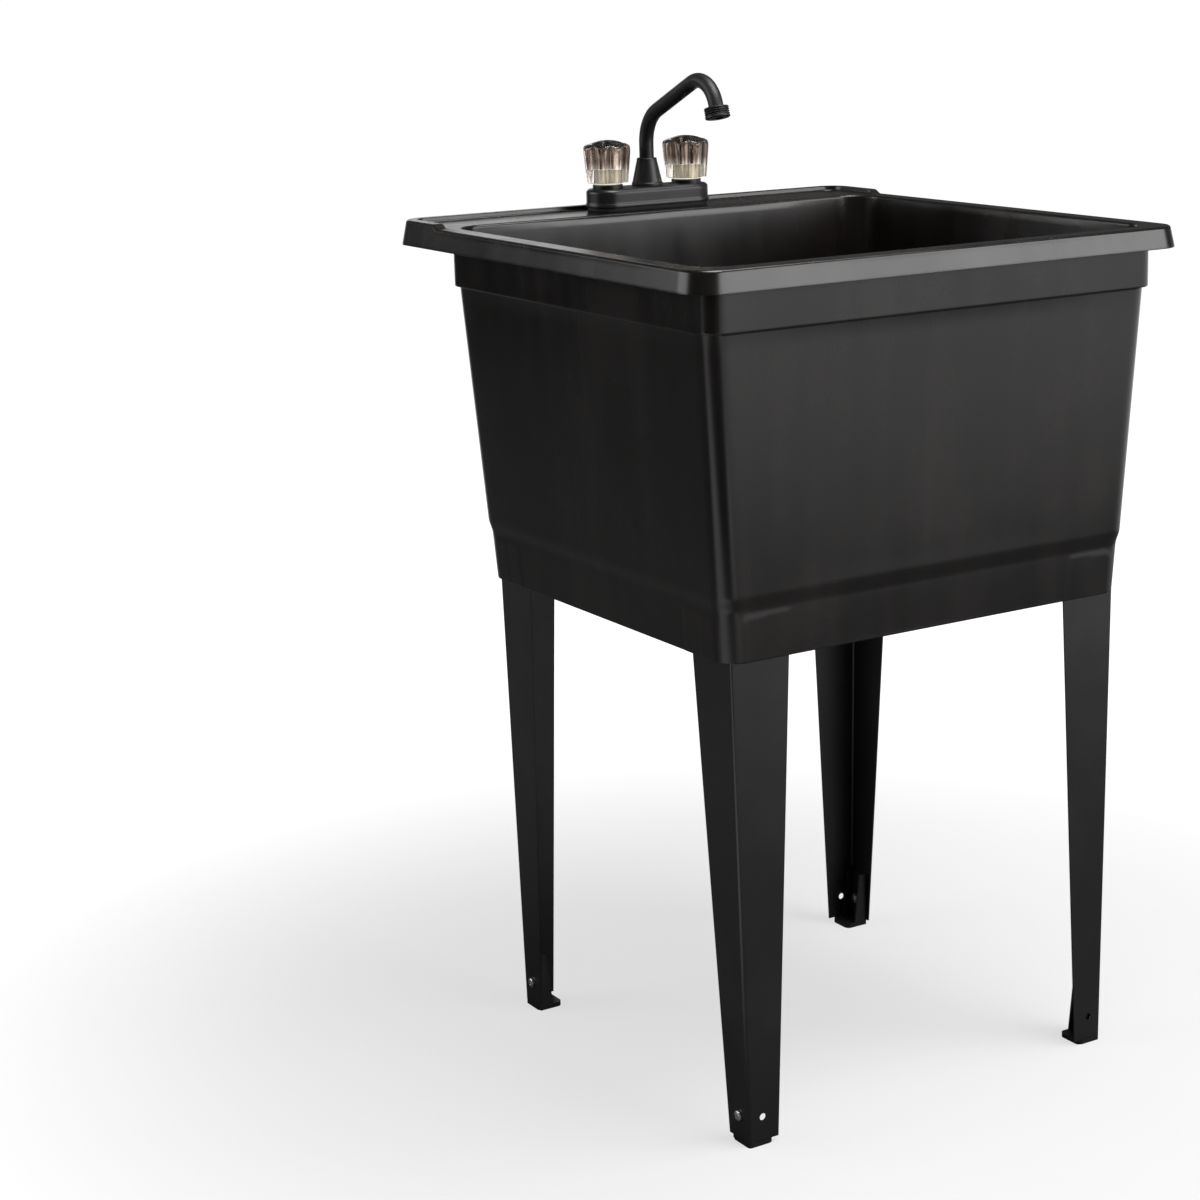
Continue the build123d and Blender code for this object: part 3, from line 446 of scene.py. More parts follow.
@dataclass
class Shape:
    """A mesh of blocks of rings, in millimetres: closed loops, and bars with flat ends."""

    name: str
    loops: list[np.ndarray]
    bars: list[np.ndarray] = field(default_factory=list)

    def _faces(self) -> list[list[int]]:
        """Join each block's points by quads: cell (i, j) spans rows i, i+1 and columns j, j+1.

        Every ring closes on itself. A loop's last ring joins its first, and a bar has a
        flat face at each end.

        Returns:
            Rows of point numbers.
        """
        faces, count = [], 0
        for number, block in enumerate(self.loops + self.bars):
            ids = count + np.arange(block.size // 3).reshape(block.shape[:2])
            count += ids.size
            is_bar = number >= len(self.loops)
            wide = ids if is_bar else np.vstack([ids, ids[:1]])
            wide = np.hstack([wide, wide[:, :1]])
            cells = (wide[:-1, :-1], wide[:-1, 1:], wide[1:, 1:], wide[1:, :-1])
            faces += np.stack(cells, axis=-1).reshape(-1, 4).tolist()
            faces += ids[[0, -1]].tolist() if is_bar else []
        return faces

    def build(self, look: Look, body: str, node: str, sharp: float = 38.0) -> None:
        """Make the object, weld its seams, turn its faces outward and dress it.

        Args:
            look: finish and record slot.
            body: the moving body that it rides on.
            node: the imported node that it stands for.
            sharp: edges that turn by more than this many degrees stay crisp.
        """
        mesh = bpy.data.meshes.new(self.name)
        points = np.concatenate([block.reshape(-1, 3) for block in self.loops + self.bars]) * MM
        mesh.from_pydata(points.tolist(), [], self._faces())
        work = bmesh.new()
        work.from_mesh(mesh)
        bmesh.ops.remove_doubles(work, verts=work.verts, dist=WELD)
        loose = [edge for edge in work.edges if not edge.link_faces]
        bmesh.ops.delete(work, geom=loose, context="EDGES")
        bmesh.ops.recalc_face_normals(work, faces=work.faces)
        work.to_mesh(mesh)
        work.free()
        mesh.shade_smooth()
        mesh.set_sharp_from_angle(angle=radians(sharp))
        piece = bpy.data.objects.new(self.name, mesh)
        bpy.context.scene.collection.objects.link(piece)
        mesh.materials.append(look.material)
        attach(piece, body)
        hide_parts(node)
        log.info("%s: %d faces on %s", self.name, len(mesh.polygons), body)


def smooth(value: np.ndarray) -> np.ndarray:
    """Smooth step: 3v^2 - 2v^3 of the value held between 0 and 1."""
    held = np.clip(value, 0.0, 1.0)
    return held * held * (3.0 - 2.0 * held)


def lesser(first: np.ndarray, second: np.ndarray, ease: float) -> np.ndarray:
    """Rounded minimum: the lesser value less h^2 k / 4, where h = 1 - |a - b| / k held above 0."""
    near = np.maximum(1.0 - np.abs(first - second) / ease, 0.0)
    return np.minimum(first, second) - near * near * ease / 4


def full_turn(count: int) -> np.ndarray:
    """Angles of a full turn in even steps from 0, without its end."""
    return np.arange(count) * tau / count


def eased(corners: tuple, spans: int = 4, hold: float = 1.35) -> np.ndarray:
    """Closed profile with rounded corners.

    A corner P with ease t becomes P + t ((1-u)^2 a + u^2 b) for u from 0 to 1,
    where a and b are the directions of its neighbours, with a held point beyond
    each end of the curve that keeps the flats flat.

    Args:
        corners: rows of radius, height and ease.
        spans: spans along each rounded corner.
        hold: distance of the held points from the corner, in eases.

    Returns:
        Rows of radius and height.
    """
    data = np.array(corners, float)
    point, ease = data[:, :2], data[:, 2, None, None]
    before, after = np.roll(point, 1, axis=0) - point, np.roll(point, -1, axis=0) - point
    a = (before / np.linalg.norm(before, axis=1, keepdims=True))[:, None]
    b = (after / np.linalg.norm(after, axis=1, keepdims=True))[:, None]
    u = np.linspace(0, 1, spans + 1)[None, :, None]
    bend = np.concatenate([hold * a, (1 - u) ** 2 * a + u**2 * b, hold * b], axis=1)
    return (point[:, None] + ease * bend).reshape(-1, 2)


def turned(
    profile: np.ndarray, angle: np.ndarray, centre: Pair = (0.0, 0.0), radius: object = None
) -> np.ndarray:
    """Surface of revolution about an upright axis.

    A point at radius r and height z goes to (cx + r cos a, cy + r sin a, z) for each angle a.

    Args:
        profile: rows of radius and height.
        angle: angles of the points round the axis.
        centre: the axis in plan.
        radius: rows by angles that take the place of the profile's radius, or None.

    Returns:
        Grid of profile rows by angles.
    """
    reach = profile[:, :1] if radius is None else radius
    x = centre[0] + reach * np.cos(angle)
    y = centre[1] + reach * np.sin(angle)
    return np.stack([x, y, profile[:, 1:] + 0.0 * x], axis=-1)


def framed(flat: np.ndarray, origin: tuple, out: Vector, side: Vector) -> np.ndarray:
    """Points in a piece's own axes, carried to origin + x side + y (out cross side) + z out."""
    return flat @ np.array([side, out.cross(side), out]) + np.array(origin)


def prism(
    outline: list, ends: Pair, order: tuple = (0, 1, 2), chamfer: float = 0.5
) -> np.ndarray:
    """Bar: a flat outline (u, v) carried from one w to another, its ends chamfered.

    The first and last rings are drawn towards the outline's middle by the chamfer.

    Args:
        outline: pairs of u and v.
        ends: first and last w.
        order: which of u, v and w gives x, y and z.
        chamfer: its width.

    Returns:
        Rings by points around.
    """
    plan = np.array(outline, float)
    middle = plan.mean(axis=0)
    tight = middle + (plan - middle) * (1 - chamfer / np.abs(plan - middle).max(axis=0))
    low, high = ends
    rings = ((tight, low), (plan, low + chamfer), (plan, high - chamfer), (tight, high))
    stacked = [np.column_stack([flat, np.full(len(flat), w)]) for flat, w in rings]
    return np.stack(stacked)[..., list(order)]


# ---------------------------------------------------------------- the tub
@dataclass
class Tub:
    """Moulded tub: basin, deck, turned-down rim, band, tapering body and skirt in one closed form.

    The surface is a stack of stations, each a rounded rectangle at one height. A station
    is a row of height, half width, front, back and corner radius, and of its shares of the
    ledge's lift, the lip's draw, the leg pads and the panels' bow.
    """

    rim_height: float = 864.0
    rim_half: Pair = (290.5, 298.5)
    rim_radius: float = 30.0
    least_radius: float = 3.0
    lip_drop: float = 21.5
    lip_draft: float = 4.0
    wall: float = 4.5
    ledge_height: float = 4.5
    ledge_width: float = 13.0
    ledge_ramp: float = 9.0
    deck_end: float = 213.0
    mouth_half: float = 263.5
    mouth_near: float = -273.7
    tapers: Triple = (25.0, 13.7, -15.5)
    taper_run: float = 373.0
    edge_radius: float = 2.5
    basin_radius: float = 32.0
    body_radius: float = 22.0
    floor_height: float = 546.0
    floor_fillet: float = 25.0
    fillet_draw: float = 0.9
    floor_edge: float = 2.0
    floor_fall: float = 12.0
    dish_radius: float = 194.1
    dish_rings: tuple = (36.3, 45.0, 70.0, 100.0, 130.0, 160.0, 184.0, 191.0)
    dish_edge: float = 2.9
    seat_radius: float = 35.5
    seat_depth: float = 4.5
    hole_radius: float = 22.5
    boss_radius: float = 45.0
    boss_depth: float = 10.0
    drain_y: float = -30.35
    band_bottom: float = 803.5
    band_grow: float = 8.5
    skirt_bottom: float = 491.0
    skirt_grow: float = 2.5
    crease: Pair = (540.0, 556.0)
    crease_margins: Pair = (1.0, 2.0)
    crease_steps: int = 11
    crease_bow: float = 0.6
    skirt_bow: float = 0.4
    pad_span: Pair = (14.0, 75.0)
    pad_top: float = 540.0
    pad_radii: Pair = (13.0, 5.0)
    pad_rise: float = 0.6
    pad_softness: float = 8.0
    bow: float = 0.9
    bow_least: float = 0.15
    bow_reach: Pair = (30.0, 150.0)
    bow_tall: Pair = (20.0, 360.0)
    waves: tuple = ((0.09, 29, 47, 1.3), (0.07, 33, -61, 0.4))
    arc_steps: int = 12
    near_steps: int = 21
    near_pitch: float = 3.0
    middle_steps: int = 10
    floor_steps: int = 6
    # Stations: angles round a small arc, heights, or rows of offsets from a size above.
    edge_turn: tuple = (0, 22, 45, 68, 90)
    fillet_turn: tuple = (0, 11, 23, 34, 45, 56, 67, 79, 90)
    basin_heights: tuple = (574, 590, 615, 640, 665, 690, 715, 740, 765, 790, 815, 838, 854, 860.6)
    deck_foot: float = 1.2
    deck_shares: tuple = (0.06, 0.3, 0.6, 0.92, 1.0)
    ledge_step: tuple = ((0.5, 0.0), (0.2, 0.07), (0.0, 0.25), (-0.25, 0.75), (-0.5, 0.94))
    ledge_top: tuple = (12.0, 11.0, 6.0, 3.4)
    lip_face: tuple = (18.1, 14.5, 10.5, 6.5, 3.0, 1.1)
    lip_foot: tuple = ((0.35, 0.1), (0.1, 0.35), (0.0, 0.8), (0.0, 3.7), (0.1, 4.15), (0.35, 4.4))
    lip_back: tuple = (1.2, 7.5, 15.4)
    lip_root: tuple = ((0.5, 4.9), (0.1, 5.5), (0.0, 6.5))
    lip_bow: float = 0.45
    under_shares: tuple = (0.08, 0.35, 0.65, 0.95)
    band_root: tuple = ((0.0, 2.0, 0.0), (0.1, 0.9, 0.0), (0.6, 0.2, 0.2))
    band_heights: tuple = (857.5, 845.0, 832.0, 819.0, 806.0)
    band_foot: tuple = ((1.2, 0), (0.5, -0.2), (0.15, -0.6), (0, -1.3))
    band_step: tuple = ((0.0, 1.3, 0.6), (-0.15, 0.5, 0.6), (-0.6, 0.1, 0.8))
    body_heights: tuple = (801.5, 785, 760, 735, 710, 685, 660, 635, 610, 590, 574, 563)
    skirt_heights: tuple = (537, 535, 533, 531, 529, 526, 521, 515, 508, 501, 496, 492.6)
    skirt_foot: tuple = ((0.8, 2.5, 1.0), (0.25, 2.25, 0.9), (0.0, 1.6, 0.7), (0.0, -1.1, 0.0))
    skirt_back: tuple = ((0.25, -1.75), (0.8, -2), (10, -2), (25, -2), (40, -2), (48.5, -2))
    ceiling_turn: tuple = ((0.9, -2.25), (0.2, -3.0), (0.0, -4.2))

    def _basin(self, height: float, grow: float) -> tuple[float, float, float]:
        """Plan of the drafted basin.

        Args:
            height: height of the cut.
            grow: distance outward from the basin's own face.

        Returns:
            Half width, front and back.
        """
        share = (self.rim_height - height) / self.taper_run
        half = self.mouth_half - self.tapers[0] * share + grow
        near = self.mouth_near + self.tapers[1] * share - grow
        far = self.deck_end + self.tapers[2] * share + grow
        return half, near, far

    def _wall_row(
        self, height: float, grow: float, radius: float, pad: float = 0.0, bow: float = 0.0
    ) -> tuple:
        """Station on a drafted wall, grown outward from the basin."""
        return (height, *self._basin(height, grow), radius, 0.0, 0.0, pad, bow)

    def _band_row(self, height: float, grow: float, bow: float = 0.6) -> tuple:
        """Station on the upright band under the rim."""
        return (height, *self._basin(self.band_bottom, grow), self.body_radius, 0.0, 0.0, 0.0, bow)

    def _rim_row(
        self, height: float, inset: float, lift: float = 0.0, draw: float = 0.0, bow: float = 0.0
    ) -> tuple:
        """Station on the rim, which draws in as it rises.

        Args:
            height: its height.
            inset: distance inward from the lip's face.
            lift: share of the ledge's lift.
            draw: share of the draft that goes with the lift.
            bow: share of the bow.

        Returns:
            The station.
        """
        draft = self.lip_draft * (height - self.rim_height + self.lip_drop) / self.lip_drop
        half_x, half_y = (half - draft - inset for half in self.rim_half)
        radius = max(self.rim_radius - draft / 2 - inset, self.least_radius)
        return (height, half_x, -half_y, half_y, radius, lift, draw, 0.0, bow)

    def _between(self, low: tuple, high: tuple, shares: tuple) -> list[tuple]:
        """Stations part of the way from one to another."""
        start, end = np.array(low), np.array(high)
        return [tuple(start + (end - start) * share) for share in shares]

    def _inside(self) -> list[tuple]:
        """Follow the inside from the floor's fillet to the mouth's edge.

        Returns:
            Stations, with arcs of r (1 - cos a) by r (1 - sin a) at the fillet and the edge.
        """
        fillet, floor, corner = self.floor_fillet, self.floor_height, self.basin_radius
        rows = [self._wall_row(floor, -fillet - self.floor_edge, corner - fillet)]
        turn = np.radians(self.fillet_turn)
        for height, inset in zip(floor + fillet * (1 - np.cos(turn)), fillet * (1 - np.sin(turn))):
            rows.append(self._wall_row(height, -inset, corner - inset * self.fillet_draw))
        rows += [self._wall_row(height, 0.0, corner, bow=1.0) for height in self.basin_heights]
        for angle in np.radians(self.edge_turn):
            rise = self.rim_height - self.edge_radius * (1 - sin(angle))
            grow = self.edge_radius * (1 - cos(angle))
            rows.append(self._wall_row(rise, grow, corner + grow))
        return rows

    def _top(self, mouth: tuple) -> list[tuple]:
        """Follow the rim's top: flat deck, ledge step, ledge top and rounded outer edge.

        Args:
            mouth: the last station of the inside.

        Returns:
            Stations.
        """
        top, edge = self.rim_height, self.edge_radius
        inner = self._rim_row(top, self.ledge_width + self.deck_foot)
        rows = self._between(mouth, inner, self.deck_shares)
        for inset, lift in self.ledge_step:
            rows.append(self._rim_row(top, self.ledge_width + inset, lift))
        rows += [self._rim_row(top, inset, 1.0) for inset in self.ledge_top]
        for angle in np.radians(self.edge_turn):
            drop, inset = edge * (1 - cos(angle)), edge * (1 - sin(angle))
            rows.append(self._rim_row(top - drop, inset, 1.0, 1.0))
        return rows

    def _lip(self) -> list[tuple]:
        """Follow the turned-down lip: down its face, round its foot and up behind it.

        Returns:
            Stations.
        """
        low, under = self.rim_height - self.lip_drop, self.rim_height - self.wall
        rows, bow = [], self.lip_bow
        for rise in self.lip_face:
            share = rise / (self.lip_drop - self.edge_radius)
            rows.append(self._rim_row(low + rise, 0.0, share, 1.0, bow))
        rows += [self._rim_row(low + rise, inset, bow=bow) for rise, inset in self.lip_foot]
        rows += [self._rim_row(low + rise, self.wall) for rise in self.lip_back]
        return rows + [self._rim_row(under - drop, inset) for drop, inset in self.lip_root]

    def _outside(self) -> list[tuple]:
        """Follow the band, its step, the body, the crease, the padded skirt and its inside.

        Returns:
            Stations.
        """
        base, grow, radius, wall = self.band_bottom, self.band_grow, self.body_radius, self.wall
        under, foot, ceiling = self.rim_height - wall, self.skirt_bottom, self.floor_height - wall
        rows = [self._band_row(under - drop, grow + out, bow) for drop, out, bow in self.band_root]
        rows += [self._band_row(height, grow) for height in self.band_heights]
        rows += [self._band_row(base + rise, grow + out) for rise, out in self.band_foot]
        rows += [self._band_row(base + rise, wall + out, bow) for rise, out, bow in self.band_step]
        rows += [self._wall_row(height, wall, radius, bow=1.0) for height in self.body_heights]
        low, high = self.crease
        below, above = self.crease_margins
        for height in np.linspace(high + above, low - below, self.crease_steps):
            rise = smooth((height - low) / (high - low)).item()
            out = self.skirt_grow + (wall - self.skirt_grow) * rise
            rows.append(self._wall_row(height, out, radius, 1.0 - rise, self.crease_bow))
        for height in self.skirt_heights:
            rows.append(self._wall_row(height, self.skirt_grow, radius, 1.0, self.skirt_bow))
        for rise, out, pad in self.skirt_foot:
            rows.append(self._wall_row(foot + rise, out, radius, pad))
        for rise, out in self.skirt_back:
            rows.append(self._wall_row(foot + rise, out, radius - wall))
        for drop, out in self.ceiling_turn:
            rows.append(self._wall_row(ceiling - drop, out, radius - wall + out + self.floor_edge))
        last, corner = -self.floor_fillet - self.floor_edge, self.basin_radius - self.floor_fillet
        return rows + [self._wall_row(ceiling, last, corner)]

    def _outlines(self, rows: np.ndarray) -> tuple[np.ndarray, np.ndarray, np.ndarray]:
        """Rounded rectangles, one a row, with their outward directions in plan.

        Each corner is an arc about (sx (half - r), middle + sy (reach - r)), and a
        straight run leads to the next, sampled closely near both of its ends, where
        a sample lies at share a of the run's length plus b millimetres.

        Args:
            rows: stations.

        Returns:
            Points, plan normals, and distance along the face to its square corner.
        """
        height, half, near, far, radius = (rows[:, i : i + 1] for i in range(5))
        middle, reach = (near + far) / 2, (far - near) / 2
        close = self.near_pitch * np.arange(1, self.near_steps + 1)
        share = np.linspace(0, 1, self.middle_steps + 1)[1:-1]
        a = np.concatenate([0 * close, share, 0 * close + 1])
        b = np.concatenate([close, close[-1] * (1 - 2 * share), -close[::-1]])
        arc = np.linspace(0, pi / 2, self.arc_steps + 1)
        flat, out = [], []
        for quarter, (sx, sy) in enumerate(((1, 1), (-1, 1), (-1, -1), (1, -1))):
            turn = arc + quarter * pi / 2
            x = sx * (half - radius) + radius * np.cos(turn)
            y = middle + sy * (reach - radius) + radius * np.sin(turn)
            flat.append(np.stack([x, y], axis=-1))
            round_out = np.stack([np.cos(turn), np.sin(turn)], axis=-1)
            out.append(np.broadcast_to(round_out, flat[-1].shape))
            ahead = np.array([cos(turn[-1] + pi / 2), sin(turn[-1] + pi / 2)])
            run = a * 2 * ((reach if quarter % 2 else half) - radius) + b
            flat.append(flat[-1][:, -1:, :] + run[..., None] * ahead)
            out.append(np.broadcast_to(out[-1][:, -1:, :], flat[-1].shape))
        plan, normal = np.concatenate(flat, axis=1), np.concatenate(out, axis=1)
        x, y = plan[..., 0], plan[..., 1]
        on_side = np.abs(normal[..., 0]) > np.abs(normal[..., 1])
        corner = np.where(on_side, reach - np.abs(y - middle), half - np.abs(x))
        points = np.concatenate([plan, np.broadcast_to(height[..., None], (*x.shape, 1))], axis=-1)
        return points, normal, corner

    def _pads(self, corner: np.ndarray, height: np.ndarray) -> np.ndarray:
        """Rise of the leg pads.

        Signed distance to a rounded rectangle in the plane of the face, of distance
        from the corner by height, eased from 0 outside to the full rise inside.

        Args:
            corner: distance along the face to its square corner.
            height: height of each point.

        Returns:
            The rise of each point.
        """
        centre = sum(self.pad_span) / 2
        half_wide = (self.pad_span[1] - self.pad_span[0]) / 2
        radius = np.where(corner < centre, *self.pad_radii)
        over_x = np.abs(corner - centre) - half_wide + radius
        over_z = height - self.pad_top + radius
        outside = np.hypot(np.maximum(over_x, 0), np.maximum(over_z, 0)) - radius
        return self.pad_rise * smooth(-outside / self.pad_softness)

    def _shaped(self, rows: np.ndarray) -> np.ndarray:
        """Work the ledge, its draft, the pads and the panels' bow into the outlines.

        Panels draw in between their corners by the bow times sin(pi t) of their height's
        share t, and wave by a few hundredths: the sum of h sin(x / p + z / q + turn).

        Args:
            rows: stations.

        Returns:
            Points, stations by points around.
        """
        points, normal, corner = self._outlines(rows)
        lift, draw, pad, bow = (rows[:, i : i + 1] for i in range(5, 9))
        x, y, z = points[..., 0], points[..., 1], points[..., 2]
        ledge = self.ledge_height * smooth((y - self.deck_end + self.ledge_ramp) / self.ledge_ramp)
        out = self._pads(corner, z) * pad
        out = out - draw * lift * ledge * self.lip_draft / self.lip_drop
        square = smooth((corner - self.bow_reach[0]) / self.bow_reach[1])
        share = (self.rim_height + self.bow_tall[0] - z) / self.bow_tall[1]
        tall = np.sin(pi * np.clip(share, 0, 1))
        wave = sum(
            high * np.sin(along / pitch + z / rise + turn)
            for along, (high, pitch, rise, turn) in zip((x, y), self.waves)
        )
        out = out - bow * square * (self.bow * tall + self.bow_least) + bow * square * wave
        points[..., 0] += normal[..., 0] * out
        points[..., 1] += normal[..., 1] * out
        points[..., 2] += lift * ledge
        return points

    def _dish(self, radii: np.ndarray, drop: float, angle: np.ndarray) -> np.ndarray:
        """Rings of the dish, a cone that falls to the drain.

        Args:
            radii: the rings' radii.
            drop: distance below the floor's face.
            angle: angles about the drain.

        Returns:
            Rings by angles.
        """
        share = np.clip((radii - self.seat_radius) / (self.dish_radius - self.seat_radius), 0, 1)
        height = self.floor_height - self.floor_fall * (1 - share) - drop
        return turned(np.stack([radii, height], axis=-1), angle, (0.0, self.drain_y))

    def _neck(self) -> np.ndarray:
        """Follow the drain's boss down, its foot in, its hole up and the seat out.

        Returns:
            Rows of radius and height.
        """
        boss, hole, seat = self.boss_radius, self.hole_radius, self.seat_radius
        top = self.floor_height - self.floor_fall
        base, foot = top - self.seat_depth, top - self.boss_depth
        # Every edge is eased by a few tenths.
        rows = [(boss + 1.2, top - self.wall), (boss, base - 0.9), (boss, foot + 0.8)]
        rows += [(boss - 0.8, foot), (hole + 0.8, foot), (hole, foot + 0.6), (hole, base - 0.4)]
        rows += [(hole + 0.4, base), (seat - 0.3, base), (seat, base + 0.3), (seat, top - 0.5)]
        return np.array(rows + [(seat + 0.2, top - 0.1)])

    def points(self) -> np.ndarray:
        """Follow the whole surface: out over the floor, up, over the rim, down and back under.

        Returns:
            Closed stack of rings, whose last joins the first at the drain's seat.
        """
        inside, lip, outside = self._inside(), self._lip(), self._outside()
        rim = self._top(inside[-1])
        under = self._between(lip[-1], outside[0], self.under_shares)
        shell = self._shaped(np.array(inside + rim + lip + under + outside))
        edge, last = shell[0], shell[-1]
        angle = np.arctan2(edge[:, 1] - self.drain_y, edge[:, 0])
        radii = np.array([*self.dish_rings, self.dish_radius, self.dish_radius + self.dish_edge])
        top = self._dish(radii, 0.0, angle)
        below = self._dish(radii[::-1][:-2], self.wall, angle)
        share = np.linspace(0, 1, self.floor_steps)[1:-1][:, None, None]
        floor = top[-1] + (edge - top[-1]) * share
        ceiling = last + (below[0] - last) * share
        around = turned(self._neck(), angle, (0.0, self.drain_y))
        return np.concatenate([top, floor, shell, ceiling, below, around])

    def build(self, wardrobe: "Wardrobe") -> None:
        """Make the tub with its leg sockets and under-floor ribs."""
        shape = Shape("tub_moulding", [self.points()], LegSockets().bars() + FloorRibs().bars())
        shape.build(wardrobe.look("tub_plastic"), "root", "tub")


@dataclass
class LegSockets:
    """Angle walls under the floor that hold each leg's top against the skirt."""

    fold_x: float = 234.9
    folds_y: Pair = (-258.0, 190.4)
    gauge: float = 1.8
    wall: float = 5.0
    reach: float = 74.0
    ends: Pair = (491.6, 542.5)

    def bars(self) -> list[np.ndarray]:
        """L-shaped wall inside each leg.

        Returns:
            Four bars.
        """
        near, deep, far = self.gauge, self.gauge + self.wall, self.reach
        corner = ((near, near), (near, far), (deep, far), (deep, deep), (far, deep), (far, near))
        walls = []
        for sx in (-1, 1):
            for fold_y, sy in zip(self.folds_y, (-1, 1)):
                plan = [(sx * (self.fold_x - u), fold_y - sy * v) for u, v in corner]
                walls.append(prism(plan, self.ends))
        return walls


@dataclass
class FloorRibs:
    """Crossed ribs that stiffen the floor on both sides of the drain."""

    drain_y: float = -30.35
    half: float = 2.0
    start: float = 43.0
    dish: float = 194.1
    low: float = 519.5
    tops: Pair = (532.0, 543.5)
    ends_x: Pair = (-240.0, 240.0)
    ends_y: Pair = (-260.5, 198.5)

    def _outline(self, middle: float, end: float) -> list:
        """Side view of one rib, whose top follows the dish.

        Args:
            middle: place of the drain along the rib.
            end: its far end.

        Returns:
            Pairs of distance along and height.
        """
        sign = 1 if end > middle else -1
        inner, rim = middle + sign * self.start, middle + sign * self.dish
        inner_top, top = self.tops
        return [(inner, self.low), (end, self.low), (end, top), (rim, top), (inner, inner_top)]

    def bars(self) -> list[np.ndarray]:
        """Ribs from the drain's boss to the skirt.

        Returns:
            Four bars.
        """
        y, half = self.drain_y, self.half
        side_on = [self._outline(0.0, end) for end in self.ends_x]
        end_on = [self._outline(y, end) for end in self.ends_y]
        across = [prism(plan, (y - half, y + half), (0, 2, 1)) for plan in side_on]
        return across + [prism(plan, (-half, half), (2, 0, 1)) for plan in end_on]


# ---------------------------------------------------------------- the tap and small pieces
@dataclass
class TurnedPiece:
    """Piece turned about an upright axis from a closed profile, its corners eased."""

    name: str
    slot: str
    body: str
    node: str
    corners: tuple
    x: float = 0.0
    around: int = 72
    ribs: int = 0
    rib_depth: float = 0.0
    rib_band: Pair = (0.0, 0.0)
    rib_fade: float = 1.2
    rib_reach: float = 0.75

    def build(self, wardrobe: "Wardrobe") -> None:
        """Make the piece; ribs draw the radius in by d (1 - cos(n a)) / 2 within their band.

        Args:
            wardrobe: gives the finish.
        """
        points = turned(eased(self.corners), full_turn(self.around))
        x, y, z = points[..., 0], points[..., 1], points[..., 2]
        radius = np.hypot(x, y)
        low, high = self.rib_band
        share = smooth((z - low) / self.rib_fade) * smooth((high - z) / self.rib_fade)
        share = share * (radius > radius.max() * self.rib_reach)
        drawn = self.rib_depth * share * (0.5 - 0.5 * np.cos(self.ribs * np.arctan2(y, x)))
        points[..., :2] *= (1 - drawn / np.maximum(radius, 1.0))[..., None]
        points[..., :2] += (self.x, TAP_Y)
        Shape(self.name, [points]).build(wardrobe.look(self.slot), self.body, self.node)


@dataclass
class SlotBlock:
    """Round-ended block: a slot outline that changes inset as it rises."""

    name: str
    slot: str
    node: str
    steps: list
    half_length: float = 75.5
    half_width: float = 25.0
    arc_steps: int = 24
    along: int = 8

    def build(self, wardrobe: "Wardrobe") -> None:
        """Make the block.

        At inset i the outline has end arcs of radius w - i about (+-(l - w), y)
        joined by straight runs, so its corners stay parallel.

        Args:
            wardrobe: gives the finish.
        """
        arc = np.linspace(-pi / 2, pi / 2, self.arc_steps + 1)
        share = np.linspace(1, -1, self.along + 1)[1:-1]
        centre = self.half_length - self.half_width
        inset, height = np.array(self.steps).T[:, :, None]
        radius = self.half_width - inset
        x = (centre + radius * np.cos(arc), centre * share + 0 * radius)
        y = (radius * np.sin(arc), radius + 0 * share)
        flat_x = np.concatenate([x[0], x[1], -x[0], -x[1]], axis=1)
        flat_y = np.concatenate([y[0], y[1], -y[0], -y[1]], axis=1)
        block = np.stack([flat_x, TAP_Y + flat_y, height + 0 * flat_x], axis=-1)
        Shape(self.name, [], [block]).build(wardrobe.look(self.slot), "root", self.node)


